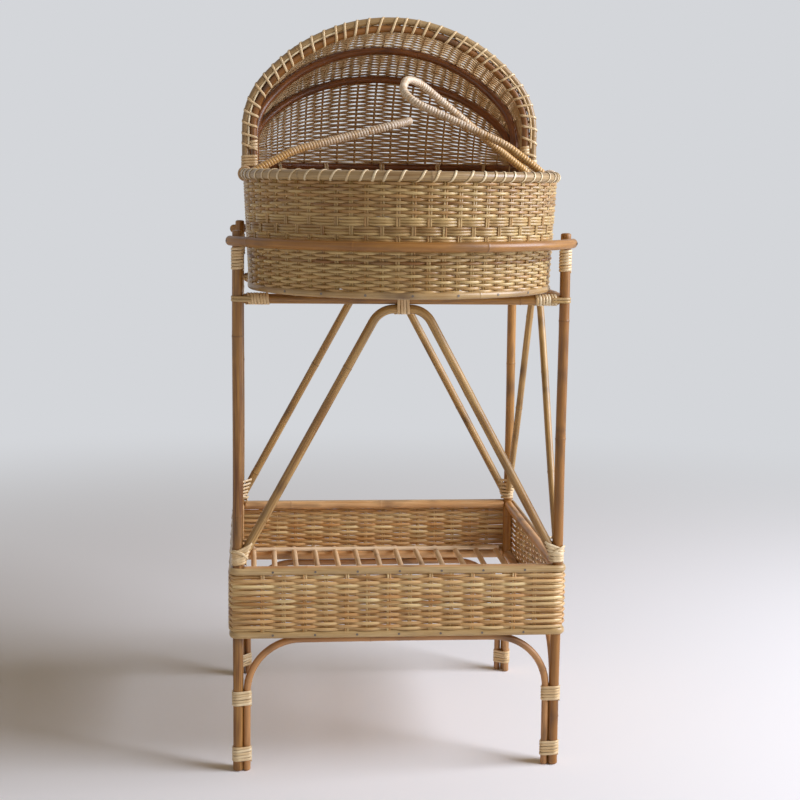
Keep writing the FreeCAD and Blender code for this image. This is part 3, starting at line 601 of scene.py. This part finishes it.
start_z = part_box("post_top_bindings")[0][2] + peel_half_width
piece("peel_post_bindings", "stand", "peel", peel, [
    bind([[(0, 0, post_r)]] * (post_turns + 1), (x * post_x, y * post_y, start_z), (1, 0, 0), up)
    for x, y in CORNERS.values()
], "post_top_bindings")
bar_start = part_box("crossbar_bindings")[1][0] - peel_half_width
piece("peel_crossbar_bindings", "stand", "peel", peel, [
    bind([[(0, 0, bar_r)]] * (bar_turns + 1), (x * bar_start, y * post_y, bar_z), (0, 0, -1), (-x, 0, 0))
    for x, y in CORNERS.values()
], "crossbar_bindings")
apexes = []
for axis, spots in ((0, ((0, -post_y), (0, post_y))), (1, ((-post_x, 0), (post_x, 0)))):
    brace_r = brace_slopes[axis][1]
    circles = [(0, 0, bar_r), (bar_r + brace_r, 0, brace_r)]
    ahead = np.eye(3)[axis]
    for x, y in spots:
        start = np.array((x, y, bar_z)) - ahead * apex_turns * peel_pitch / 2
        apexes.append(bind([circles] * (apex_turns + 1), start, (0, 0, -1), ahead))
piece("peel_brace_tops", "stand", "peel", peel, apexes, "brace_apex_bindings")

# Loops: two strips of split cane laid round each post over the crossbar's end, which tie it to the post.
# Their ends are caught under the crossbar's binding.
loop_tuck = 6 * MM
loop_gap = 1.1 * MM
loop_lift = 2.1 * MM
loop_half_width = 2 * MM
loop_half_thick = 0.75 * MM
loop_tone = (0.5, 0.15)
loop_bow_points = 21
loop_points = 60
loop_reach = bar_start - loop_tuck
loop_out = max(post_r, bar_r) + loop_gap
turn = np.linspace(-math.pi / 2, math.pi / 2, loop_bow_points)
loops = []
for x, y in CORNERS.values():
    bow = np.column_stack([x * (post_x + loop_out * np.cos(turn)), y * post_y + loop_out * np.sin(turn)])
    ends = np.array([(x * loop_reach, y * post_y + side * loop_out) for side in (-1, 1)])
    plan = evenly(np.vstack([ends[:1], bow, ends[1:]]), loop_points)
    for lift in (-loop_lift, loop_lift):
        path = points_at(*plan.T, bar_z + lift)
        tone = draw.normal(*loop_tone)
        loops.append(sweep(path, up, loop_half_width, loop_half_thick, peel_sides, tone=tone))
piece("cane_crossbar_loops", "stand", "cane", gold_cane, loops, "crossbar_loops")

# Lashings: strips of peel wound round each post and the two brace feet beside it, with one turn slanting
# over them. Below the tray, two bindings on each post hold the feet of the leg arches to it.
foot_turns = 6
foot_fan = 0.45
slant_turn = 2
slant_rise = 3.6 * peel_pitch
slant_fan = 0.6
leg_turns = 5
start_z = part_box("brace_foot_lashings")[0][2] + peel_half_width
lashings = []
for x, y in CORNERS.values():
    turns = []
    for turn in range(foot_turns + 1):
        circles = [(0, 0, post_r)]
        for axis, sign in ((0, -x), (1, -y)):
            slope, brace_r = brace_slopes[axis]
            rise = start_z + turn * peel_pitch - brace_foot_z
            offset = max(post_r + rise / slope, post_r / 2)
            spot = np.zeros(2)
            spot[axis] = sign * offset
            circles.append((*spot, brace_r * math.hypot(1, slope) / slope))
        turns.append(circles)
    post = np.array((x * post_x, y * post_y, start_z))
    lashings.append(bind(turns, post, (1, 0, 0), up, fan=(-foot_fan * x, -foot_fan * y)))
    lashings.append(bind([turns[slant_turn]] * 2, post + up * slant_rise, (1, 0, 0), up, pitch=0.0,
                         fan=(slant_fan * x, slant_fan * y), layer=1))
piece("peel_brace_feet", "stand", "peel", peel, lashings, "brace_foot_lashings")
leg_out = post_r + touch + arch_r
for level in ("lower", "upper"):
    node = "leg_bindings_" + level
    start_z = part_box(node)[0][2] + peel_half_width
    piece("peel_" + node, "stand", "peel", peel, [
        bind([[(0, 0, post_r), (-x * leg_out, 0, arch_r), (0, -y * leg_out, arch_r)]] * (leg_turns + 1),
             (x * post_x, y * post_y, start_z), (1, 0, 0), up)
        for x, y in CORNERS.values()
    ], node)

# Basket base: a cane bent to an oval, which the wall's stakes stand on; the floor is woven inside it. It is
# the gold cane of the tray's edgings, with nails round its side.
end_round_share = 0.72
end_depth_share = 0.91
arc_points = 40


def arch(half_width, flank, rise, share, inset=0):
    """A three-centred arch on straight flanks, from its right foot to its left, as x and height."""
    small = min(rise, half_width) * share
    large = ((half_width - small) ** 2 + rise ** 2 - small ** 2) / (2 * (rise - small))
    turn = math.atan2(large - rise, half_width - small)
    points = [np.array([(half_width - inset, 0)])]
    for centre, radius, first, last in (
        ((half_width - small, flank), small, 0, turn),
        ((0, flank + rise - large), large, turn, math.pi - turn),
        ((small - half_width, flank), small, math.pi - turn, math.pi),
    ):
        angle = np.linspace(first, last, arc_points)
        points.append(np.array(centre) + (radius - inset) * np.column_stack([np.cos(angle), np.sin(angle)]))
    points.append(np.array([(inset - half_width, 0)]))
    return np.vstack(points)


def oval(half_width, end_depth, z):
    """Straight sides with an arch at each end, anticlockwise from the right side's middle."""
    end = arch(half_width, half_side, end_depth, end_round_share)
    flat = np.vstack([end[:-1], -end[:-1]])
    return points_at(*flat.T, z)


rim_centre, rim_half = middle("basket_rim")
rim_r = rim_half[2]
rim_x = rim_half[0] - rim_r
rim_end = rim_x * end_depth_share
half_side = rim_half[1] - rim_r - rim_end
rim_z = rim_centre[2]
base_centre, base_half = middle("basket_base_rod")
base_r = base_half[2]
base_x = base_half[0] - base_r
base_end = base_half[1] - base_r - half_side
base_z = base_centre[2]
base_rod = pole(oval(base_x, base_end, base_z), base_r, True)
piece("cane_base_rod", "basket", "cane", gold_cane, [base_rod], "basket_base_rod")

# Basket floor: pairs of long stakes, with weavers going over and under them from side to side inside the
# base rod. Flat canes, straw coloured like the tray's sides.
floor_pitch = 7.6 * MM
floor_stake_pitch = 27 * MM
floor_inset = 4 * MM
floor_end_inset = 8 * MM
floor_half_width = 3.5 * MM
floor_half_thick = 1 * MM
floor_swing_share = 0.8
floor_steps_between = 5
floor_stake_points = 30
floor_z = middle("basket_floor")[0][2]
floor_outline = arch(base_x - floor_inset, half_side, base_end - floor_inset, end_round_share)
right_half = floor_outline[floor_outline[:, 0] >= 0]
left_half = floor_outline[len(floor_outline) // 2:]
half_rows = int((half_side + base_end - floor_end_inset) / floor_pitch)
half_stakes = int(base_x / floor_stake_pitch)
floor_weave = []
for row in range(-half_rows, half_rows + 1):
    y = row * floor_pitch
    edge = np.interp(abs(y), right_half[:, 1], right_half[:, 0])
    x = np.arange(-edge, edge, floor_stake_pitch / floor_steps_between)
    swing = np.cos(math.pi * (x / floor_stake_pitch + row)) * floor_swing_share
    floor_weave.append(woven_row(points_at(x, y, floor_z), up, np.array((0.0, 1.0, 0.0)), swing,
                                 floor_half_width, floor_half_thick, False))
for index in range(-half_stakes, half_stakes + 1):
    x = index * floor_stake_pitch
    edge = np.interp(-abs(x), left_half[::-1, 0], left_half[::-1, 1])
    path = points_at(x, np.linspace(-edge, edge, floor_stake_points), floor_z)
    floor_weave += stake_pair(path, np.array((1.0, 0.0, 0.0)))
piece("woven_floor", "basket", "weave", straw, floor_weave, "basket_floor")

# Basket wall: round canes woven in and out of pairs of slim stakes from the base rod to the rim. A band of
# canes woven three at a time goes round it, at the height of the hoops. Its straw is painted darker than
# the tray's, as painted shade for the shade the wall stands in.
# A darker copy of the tray's straw: painted shade.
wall_straw_painted_shade = cane_finish("woven_wall_cane_painted_shade", "#d6b87c", "#8a5c25", "#b58448", "#523415", grain=0.8,
                         grain_length=60, patch=0.4, roughness=0.38, coat=0.2)
wall_stakes = 96
wall_row_pitch = 3.9 * MM
wall_half_width = 2.25 * MM
wall_half_thick = 1.55 * MM
wall_swing_share = 0.78
wall_sink = 2.5 * MM
band_low = 774.7 * MM
band_blocks = 3
band_strands = 3
band_strand_pitch = 4.1 * MM
band_strand_start = 0.55 * band_strand_pitch
band_block_pitch = 12.6 * MM
band_half_width = 2.05 * MM
band_high = band_low + band_blocks * band_block_pitch
wall_low, wall_high = (corner[2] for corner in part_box("basket_wall"))
wall_points = wall_stakes * steps_between
low_ring = evenly(oval(base_x, base_end, base_z), wall_points, True)
high_ring = evenly(oval(rim_x, rim_end, rim_z), wall_points, True)
wall_up = unit(high_ring - low_ring)
wall_out = unit(np.cross(headings(low_ring, True), wall_up))


def wall_line(z):
    return low_ring + (high_ring - low_ring) * (z - base_z) / (rim_z - base_z)


lower_rows = int((band_low - wall_low) / wall_row_pitch)
upper_rows = int((wall_high - band_high) / wall_row_pitch)
lower_pitch = (band_low - wall_low + wall_sink) / lower_rows
upper_pitch = (wall_high - band_high) / upper_rows
rows = []
for index in range(lower_rows):
    rows.append((band_low - (index + 0.5) * lower_pitch, index + 1, wall_half_width))
for block in range(band_blocks):
    for strand in range(band_strands):
        z = band_low + block * band_block_pitch + strand * band_strand_pitch + band_strand_start
        rows.append((z, block, band_half_width))
for index in range(upper_rows):
    rows.append((band_high + (index + 0.5) * upper_pitch, index + band_blocks, wall_half_width))
swing = np.cos(math.pi * np.arange(wall_points) / steps_between) * wall_swing_share
wall_weave = []
for z, phase, half_width in rows:
    wall_weave.append(woven_row(wall_line(z), wall_out, wall_up, swing * (-1) ** phase, half_width,
                                wall_half_thick, True))
for stake in range(0, wall_points, steps_between):
    heights = np.linspace(wall_low - stake_tuck, wall_high + stake_tuck, stake_points)
    upright = np.array([wall_line(z)[stake] for z in heights])
    wall_weave += stake_pair(upright, np.cross(wall_up[stake], wall_out[stake]))
piece("woven_wall", "basket", "weave", wall_straw_painted_shade, wall_weave, "basket_wall")

# Rim: a pale varnished pole bent to an oval on top of the wall, bound to the weave by a strip of peel that
# spirals round it. Round the head end, ties of two turns hold the hood's base rail down on it.
rim_cane = cane_finish("varnished_olive_cane", "#c8aa78", "#8a683c", "#b38e58", "#523a1f", grain=0.7,
                       patch=0.35, roughness=0.36)
lashing_pitch = 20 * MM
lashing_step = lashing_pitch / 18
lashing_wander = 0.5
lashing_wander_length = 190 * MM
lashing_half_width = 1.75 * MM
lashing_half_thick = 0.6 * MM
lashing_sides = 6
lashing_tone = 0.6
lashing_tone_wander = 0.3
lashing_tone_length = 50 * MM
rim_turn_points = 72
shortest_stretch = 12
eye_inset = 6 * MM
eye_room = 8.5 * MM
tie_turns = 2
tie_spacing = 105 * MM
tie_clear = 60 * MM
rim_line = oval(rim_x, rim_end, rim_z)
piece("cane_rim", "basket", "cane", rim_cane, [pole(rim_line, rim_r, True)], "basket_rim")
hood_rail_centre, hood_rail_half = middle("hood_base_rail")
hood_rail_r = hood_rail_half[2]
hood_rail_z = hood_rail_centre[2]
rail_front = hood_rail_centre[1] - hood_rail_half[1]
eyes_centre, eyes_half = middle("handle_left_eyes")
line, run = measured(rim_line, True)
stations = np.arange(0, run[-1], lashing_step)
path = at_runs(line, run, stations)
ahead = headings(path, True)
out = np.cross(ahead, up)
turns_run = stations / lashing_pitch + wander(stations, lashing_wander, lashing_wander_length)
near_eye = np.zeros(len(path), bool)
for end in (-1, 1):
    eye_y = eyes_centre[1] + end * (eyes_half[1] - eye_inset)
    near_eye |= (abs(path[:, 1] - eye_y) < eye_room) & (abs(path[:, 0]) > rim_x - rim_r)
loop = hull([(0, 0, rim_r + lashing_half_thick)], rim_turn_points)
loop, loop_run = np.vstack([loop, loop[:1]]), np.arange(rim_turn_points + 1)
offset = at_runs(loop, loop_run, (turns_run % 1) * rim_turn_points)
strip = path + out * offset[:, :1] + up * offset[:, 1:]
lashing = []
for stretch in np.split(np.arange(len(path)), np.flatnonzero(np.diff(near_eye)) + 1):
    if not near_eye[stretch[0]] and len(stretch) > shortest_stretch:
        tone = lashing_tone + wander(stations[stretch], lashing_tone_wander, lashing_tone_length)
        lashing.append(sweep(strip[stretch], ahead[stretch], lashing_half_width, lashing_half_thick,
                             lashing_sides, tone=tone))
tie_circles = [(0, 0, rim_r), (0, rim_z - hood_rail_z, hood_rail_r)]
under_hood = np.flatnonzero(path[:, 1] > rail_front + tie_clear)
for index in under_hood[::int(tie_spacing / lashing_step)]:
    lashing.append(bind([tie_circles] * (tie_turns + 1), path[index], out[index], ahead[index]))
piece("peel_rim_lashing", "basket", "peel", peel, lashing)

# Hood base rail and ribs: dark stained poles. The rail lies on the rim round the head end; the two ribs
# stand on it and hold the woven shell up from inside.
dark_rattan = cane_finish("dark_stained_rattan", "#a0622a", "#6a3a12", "#874f1e", "#2e180a", patch=0.6,
                          roughness=0.38)
flat = arch(rim_x, half_side - rail_front, rim_end, end_round_share)
rail_line = points_at(flat[:, 0], rail_front + flat[:, 1], hood_rail_z)
piece("rattan_hood_base_rail", "basket", "rib", dark_rattan, [pole(rail_line, hood_rail_r)], "hood_base_rail")
hood_flank = 61 * MM
hood_round_share = 0.70
hood_foot_span = 150 * MM
hood_tilts = (0, 26, 47, 69, 90)
hood_feet_shares = (0, 0.4, 0.67, 0.87, 1)
hood_blend_shares = (0, 0.2, 0.5, 0.8, 1)
shell_half = 3 * MM
rib_r = 6.25 * MM
rib_gap = 1 * MM
rib_inset = shell_half + rib_gap + rib_r
arch_centre, arch_half = middle("hood_arch_outer")
hood_pole_r = arch_half[1]
hood_front = arch_centre[1]
rim_top = arch_centre[2] - arch_half[2]
pole_pitch = 2 * hood_pole_r + 2 * touch
arch_rise = 2 * arch_half[2] - hood_flank - hood_pole_r
shell_z = hood_rail_z + hood_rail_r + touch
shell_flank = rim_top + hood_flank - shell_z
front_values = np.array((rim_x - pole_pitch / 2, shell_flank, arch_rise - pole_pitch / 2, hood_round_share))
base_values = np.array((rim_x, half_side - rail_front - hood_foot_span, rim_end, end_round_share))


def through(values, place):
    """A smooth curve through the values of the hood's sections, at a place counted in sections."""
    return np.polyval(np.polyfit(range(len(values)), values, len(values) - 1), place)


def hood_arch(place, inset=0):
    """The shell's middle at a place from the mouth, 0, to the base rail, 4, from right foot to left."""
    tilt = math.radians(through(hood_tilts, place))
    foot = rail_front + through(hood_feet_shares, place) * hood_foot_span
    flat = arch(*(front_values + through(hood_blend_shares, place) * (base_values - front_values)), inset)
    return points_at(flat[:, 0], foot + flat[:, 1] * math.sin(tilt), shell_z + flat[:, 1] * math.cos(tilt))


for place, name in ((1, "front"), (2, "rear")):
    rib = pole(hood_arch(place, rib_inset), rib_r)
    piece("rattan_hood_rib_" + name, "basket", "rib", dark_rattan, [rib], "hood_rib_" + name)

# Hood: a shell of slim canes woven over stakes that run from the mouth back to the base rail. The rows lie
# beside the arch and close up like a fan towards its feet, where every other row ends early. Dry, and
# painted paler than its own straw: painted light for its shaded inside.
# Paler than the other straw: painted light for the hood's shaded inside.
hood_cane_painted_pale = cane_finish("weathered_straw_cane_painted_pale", "#ead2a6", "#b58a50", "#d6ae7c", "#775229", grain=0.8,
                        grain_length=60, patch=0.4, roughness=0.55, coat=0.0)
hood_stakes = 22
hood_row_pitch = 4.5 * MM
front_row_pitch = 7.2 * MM
hood_half_width = 2.1 * MM
hood_half_thick = 1.25 * MM
hood_swing_share = 0.78
hood_blunt = 1.0
row_room = 0.46
crowded_gap = 0.6 * hood_row_pitch
hood_stake_half_width = 2 * MM
hood_stake_tone = (0.25, 0.12)
hood_stake_points = 40
crown_points = 161
hood_steps = hood_stakes * steps_between
hood_back = len(hood_tilts) - 1
places = np.linspace(0, hood_back, crown_points)
crown = np.array([evenly(hood_arch(place), 3)[1] for place in places])
crown_run = measured(crown)[1]
front_run = np.interp(1, places, crown_run)
front_rows = np.arange(front_row_pitch, front_run, front_row_pitch)
rear_rows = crown_run[-1] - np.arange(0, crown_run[-1] - front_run, hood_row_pitch)[::-1]
row_places = np.interp(np.r_[front_rows, rear_rows], crown_run, places)
sheet = np.array([evenly(hood_arch(place), hood_steps + 1) for place in row_places])
row_up = unit(np.gradient(sheet, axis=0))
row_out = unit(np.cross(unit(np.gradient(sheet, axis=1)), row_up))
row_gap = np.linalg.norm(np.gradient(sheet, axis=0), axis=2)
swing = np.cos(math.pi * np.arange(hood_steps + 1) / steps_between) * hood_swing_share
hood_weave = []
for index, gap in enumerate(row_gap):
    crowded = gap <= crowded_gap
    wide = np.minimum(hood_half_width, gap * row_room)
    kept = np.arange(hood_steps + 1)
    if index % 2:
        kept = kept[~crowded]
    else:
        wide = np.where(crowded, np.minimum(hood_half_width, 2 * gap * row_room), wide)
    hood_weave.append(woven_row(sheet[index, kept], row_out[index, kept], row_up[index, kept],
                                swing[kept] * (-1) ** index, wide[kept], hood_half_thick, False, hood_blunt))
stake_places = np.linspace(0, hood_back, hood_stake_points)
stake_sheet = np.array([evenly(hood_arch(place), hood_steps + 1) for place in stake_places])
for stake in range(steps_between, hood_steps, steps_between):
    beside = unit(stake_sheet[:, stake + 1] - stake_sheet[:, stake - 1])
    hood_weave.append(sweep(stake_sheet[:, stake], beside, hood_stake_half_width, stake_half_thick,
                            weaver_sides, tone=draw.normal(*hood_stake_tone)))
piece("woven_hood", "basket", "weave", hood_cane_painted_pale, hood_weave, "hood_shell")

# Hood mouth: two poles side by side, a pale one outside and a brown one inside, standing on the rim. Strips
# of peel lash them together, and low on each side a strip runs along them over the lashings.
brown_rattan = cane_finish("brown_rattan", "#ab7437", "#6f4214", "#935f26", "#351d0d", patch=0.6,
                           roughness=0.4)
strap_pitch = 18.5 * MM
strap_clear = 26 * MM
strap_steps = 36
strap_wander = 5 * MM
strap_wander_length = 110 * MM
strap_half_width = 1.9 * MM
strap_tone = 0.62
strap_tone_wander = 0.3
strap_tone_length = 70 * MM
heading_reach = 1 * MM
runner_spans = ((0.05, 0.36), (0.62, 0.95))
runner_points = 160
runner_inset = 4.2 * MM
runner_sink = 0.6 * MM
runner_ripple = 1.2 * MM
runner_half_width = 1.5 * MM
runner_tone = 0.7
runner_tone_wander = 0.2
runner_tone_length = 100 * MM
hood_foot_turns = 4
inner_foot_turns = 3
inner_foot_start = 6
fore = np.array((0.0, -1.0, 0.0))
arches = {}
for name, inset, slot, finish in (
    ("outer", 0, "cane", rim_cane),
    ("inner", pole_pitch, "brown_pole", brown_rattan),
):
    flat = arch(rim_x, hood_flank, arch_rise, hood_round_share, inset)
    arches[name] = points_at(flat[:, 0], hood_front, rim_top + flat[:, 1])
    mouth_pole = pole(arches[name], hood_pole_r)
    piece("cane_hood_arch_" + name, "basket", slot, finish, [mouth_pole], "hood_arch_" + name)
line, run = measured(arches["outer"])
strap_r = hood_pole_r + lashing_half_thick
pair = hull([(0, 0, strap_r), (pole_pitch, 0, strap_r)], strap_steps)
turns = np.arange(0, (run[-1] - 2 * strap_clear) / strap_pitch, 1 / strap_steps)
stations = run[-1] - strap_clear - turns * strap_pitch
stations = stations + wander(turns * strap_pitch, strap_wander, strap_wander_length)
ahead = unit(at_runs(line, run, stations + heading_reach) - at_runs(line, run, stations - heading_reach))
inward = np.cross(fore, ahead)
loop = pair[np.arange(len(turns)) % strap_steps]
path = at_runs(line, run, stations) + loop[:, :1] * inward + loop[:, 1:] * fore
tone = strap_tone + wander(stations, strap_tone_wander, strap_tone_length)
straps = [sweep(path, ahead, strap_half_width, lashing_half_thick, lashing_sides, tone=tone)]
for first, last in runner_spans:
    stations = np.linspace(first, last, runner_points) * run[-1]
    path = at_runs(line, run, stations)
    inward = np.cross(fore, headings(path))
    ripple = 0.5 + 0.5 * np.cos(2 * math.pi * (stations - strap_clear) / strap_pitch)
    rise = hood_pole_r - runner_sink + runner_ripple * ripple
    path = path + inward * runner_inset + fore * rise[:, None]
    tone = runner_tone + wander(stations, runner_tone_wander, runner_tone_length)
    straps.append(sweep(path, inward, runner_half_width, lashing_half_thick, lashing_sides, tone=tone))
piece("peel_hood_straps", "basket", "peel", peel, straps)
start_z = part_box("hood_foot_bindings")[0][2] + peel_half_width
both = [(0, 0, hood_pole_r), (pole_pitch, 0, hood_pole_r)]
hood_feet = []
for circles, count, skipped in ((both, hood_foot_turns, 0), (both[1:], inner_foot_turns, inner_foot_start)):
    for side in (-1, 1):
        foot = (side * rim_x, hood_front, start_z + skipped * peel_pitch)
        hood_feet.append(bind([circles] * (count + 1), foot, (-side, 0, 0), up))
piece("peel_hood_feet", "basket", "peel", peel, hood_feet, "hood_foot_bindings")

# Handles: a cane bent to a loop and wound from end to end with peel. Each foot is tied round the rim with
# more turns of peel, an eye that lets the handle swing. The peel is pinkish cream, golden near the feet,
# and painted paler towards the tip as a painted highlight; the grooves between its turns are painted dark
# as painted shade.
handle_peel = cane_finish("handle_peel", "#ecd9bf", "#bd9159", "#dba957", "#845d36", grain=0.6,
                          grain_length=30, patch=0.3, roughness=0.36, coat=0.25)
handle_near_foot = 150 * MM
handle_far_foot = 22 * MM
handle_near_tip = 130 * MM
handle_far_tip = 42 * MM
handle_tip_bend = 40 * MM
knee_run = 78 * MM
knee_rise = 11 * MM
knee_bend = 150 * MM
left_length = 254 * MM
left_lean = 18.3
right_length = 248 * MM
right_lean = 27.6
right_twist = 43 * MM
handle_r = 6 * MM
handle_groove = 1.15 * MM
foot_taper = 14 * MM
foot_taper_share = 0.2
handle_turn = 4.2 * MM
handle_sides = 16
steps_a_turn = 7
handle_tone = (0.55, 0.17)
handle_cast_share = 0.7
# Painted highlight: lifts the peel so that the tip is paler.
tip_painted_highlight = 0.3
golden_depth = 0.55
golden_rate = 1.6
golden_start = 0.35
# Painted shade in the grooves between turns.
groove_painted_shade = 0.75
eye_r = 9.3 * MM
eye_turns = 3
eye_turn_points = 26
eye_half_length = 4.1 * MM
eye_half_width = 1.95 * MM
eye_half_thick = 1.85 * MM
eye_sides = 10
eye_tone = (0.5, 0.2)


def wound(line, radius):
    """A cane wound with peel, slimmer at its feet: each turn is a rounded ridge with a groove beside it. The
    grooves are painted dark as painted shade, and the tip paler as a painted highlight.
    """
    line, run = measured(line)
    stations = np.arange(0, run[-1], handle_turn / steps_a_turn)
    path = at_runs(line, run, stations)
    edge = np.minimum(stations, run[-1] - stations)
    thick = radius * (1 - foot_taper_share * np.clip(1 - edge / foot_taper, 0, 1))
    points, faces, coords, tints = sweep(path, carried(path), thick, thick, handle_sides)
    turns = stations[:, None] / handle_turn - np.arange(handle_sides) / handle_sides
    groove = np.abs(2 * (turns % 1) - 1)
    ridge = 1 - handle_groove / radius * groove ** 4
    centre = np.repeat(path, handle_sides, 0)
    points = centre + (points - centre) * ridge.reshape(-1, 1)
    index = np.floor(turns).astype(int).ravel() + 1
    shades = draw.normal(*handle_tone, int(turns.max()) + 3)
    casts = draw.uniform(0, 1, len(shades))
    golden = np.clip(np.abs(2 * stations / stations[-1] - 1) * golden_rate - golden_start, 0, 1)
    golden = np.repeat(golden, handle_sides)
    # Paler towards the tip as a painted highlight, golden towards the feet.
    tints[:, 0] = shades[index] + tip_painted_highlight - golden_depth * golden
    # Dark in the grooves: painted shade.
    tints[:, 1] = groove.ravel() ** 6 * groove_painted_shade
    tints[:, 2] = np.maximum(casts[index] * handle_cast_share, golden)
    return points, faces, coords, tints


for name, side, reach, degrees, twist in (
    ("left", -1, left_length, left_lean, 0),
    ("right", 1, right_length, right_lean, right_twist),
):
    lean = math.radians(degrees)
    ahead = np.array((-side * math.cos(lean), 0, math.sin(lean)))
    above = np.array((side * math.sin(lean), 0, math.cos(lean)))
    hinge = np.array((side * rim_x, 0, rim_z))
    knee_share = knee_run / reach
    near_knee = handle_near_foot + knee_share * (handle_near_tip - handle_near_foot)
    far_knee = handle_far_foot + knee_share * (handle_far_tip - handle_far_foot)
    corners = [
        (eye_r, 0, handle_near_foot),
        (knee_run, knee_rise, near_knee),
        (reach, 0, handle_near_tip),
        (reach, twist, handle_far_tip),
        (knee_run, knee_rise, far_knee),
        (eye_r, 0, handle_far_foot),
    ]
    points = [hinge + ahead * run + above * lift - (0, y, 0) for run, lift, y in corners]
    line = bent(points, [knee_bend, handle_tip_bend, handle_tip_bend, knee_bend])
    body = "handle_" + name
    piece("wound_" + body, body, "handle", handle_peel, [wound(line, handle_r)], body)
    angle = np.linspace(0, 2 * math.pi * eye_turns, eye_turn_points * eye_turns)
    along = np.linspace(-eye_half_length, eye_half_length, len(angle))
    eyes = []
    for foot in (handle_near_foot, handle_far_foot):
        path = points_at(side * rim_x + eye_r * np.cos(angle), along - foot, rim_z + eye_r * np.sin(angle))
        tone = np.repeat(draw.normal(*eye_tone, eye_turns), eye_turn_points)
        eyes.append(sweep(path, (0, 1, 0), eye_half_width, eye_half_thick, eye_sides, tone=tone))
    piece("wound_" + body + "_eyes", body, "handle", handle_peel, eyes, body + "_eyes")

# Floor: a plain pale studio floor, painted matt, that fades into a pale backdrop. It only stands under the
# object, and isn't part of it.
backdrop = colour("#d4d6da")
studio_size = 14.0
fade_start = 0.8
fade_end = 3.0
mesh = bpy.data.meshes.new("studio_floor")
mesh.from_pydata([(x * studio_size, y * studio_size, 0) for x, y in CORNERS.values()], [], [(0, 1, 2, 3)])
studio_floor = bpy.data.objects.new("studio_floor", mesh)
scene.collection.objects.link(studio_floor)
floor_paint = bpy.data.materials.new("pale_floor")
floor_paint.use_nodes = True
tree = floor_paint.node_tree
tree.nodes.clear()
place = add(tree, "TexCoord").outputs["Object"]
away = add(tree, "VectorMath", {"operation": "LENGTH"}, at0=place).outputs["Value"]
fade = add(tree, "MapRange", {"interpolation_type": "SMOOTHSTEP"}, Value=away, From_Min=fade_start,
           From_Max=fade_end, To_Min=0.0, To_Max=1.0).outputs[0]
matt = add(tree, "BsdfDiffuse", Color=colour("#f6f4f2")).outputs[0]
glow = add(tree, "Emission", Color=backdrop, Strength=1.0).outputs[0]
add(tree, "OutputMaterial", Surface=add(tree, "MixShader", at0=fade, at1=matt, at2=glow).outputs[0])
mesh.materials.append(floor_paint)

# Light: one large soft lamp from the right like a window, a weak one from the left front, and an even sky.
# Sizes and places in metres, power in watts.
lamp_aim = np.array((0, 0, 0.6))
sky_strength = 0.21
for name, tinge, place, size, power in (
    ("window_lamp", "#ebf0ff", (3.1, -0.95, 2.1), 2.4, 215),
    ("fill_lamp", "#fff1e0", (-2.4, -2.7, 0.9), 0.6, 5),
):
    lamp = bpy.data.lights.new(name, "AREA")
    lamp.size = size
    lamp.energy = power
    lamp.color = colour(tinge)[:3]
    holder = bpy.data.objects.new(name, lamp)
    scene.collection.objects.link(holder)
    holder.location = place
    aim = unit(lamp_aim - place)
    holder.rotation_euler = (math.acos(-aim[2]), 0, math.atan2(aim[1], aim[0]) - math.pi / 2)
sky = bpy.data.worlds.new("studio_sky")
sky.use_nodes = True
scene.world = sky
tree = sky.node_tree
tree.nodes.clear()
rays = add(tree, "LightPath").outputs
seen = add(tree, "Math", {"operation": "MAXIMUM"}, at0=rays["Is Camera Ray"], at1=rays["Is Glossy Ray"])
ambient = add(tree, "Background", Color=colour("#f2ddbf"), Strength=sky_strength).outputs[0]
shown = add(tree, "Background", Color=backdrop, Strength=1.0).outputs[0]
light = add(tree, "MixShader", at0=seen.outputs[0], at1=ambient, at2=shown).outputs[0]
add(tree, "OutputWorld", Surface=light)

# Camera: a long lens at the height of the basket's rim in front of the foot end, a little left of the
# middle, looking slightly down.
camera_place = np.array((-0.213, -2.488, 0.871))
yaw = math.radians(5.346)
pitch = math.radians(8.103)
roll = math.radians(0.723)
sensor_width = 36
focal_length = 72
forward = np.array((math.sin(yaw) * math.cos(pitch), math.cos(yaw) * math.cos(pitch), -math.sin(pitch)))
right = np.array((math.cos(yaw), -math.sin(yaw), 0))
top = np.cross(right, forward)
tilted_right = math.cos(roll) * right + math.sin(roll) * top
tilted_top = math.cos(roll) * top - math.sin(roll) * right
lens = bpy.data.cameras.new("camera")
lens.sensor_width = sensor_width
lens.lens = focal_length
camera = bpy.data.objects.new("camera", lens)
scene.collection.objects.link(camera)
stance = np.eye(4)
stance[:3] = np.column_stack([tilted_right, tilted_top, -forward, camera_place])
camera.matrix_world = Matrix(stance.tolist())
scene.camera = camera
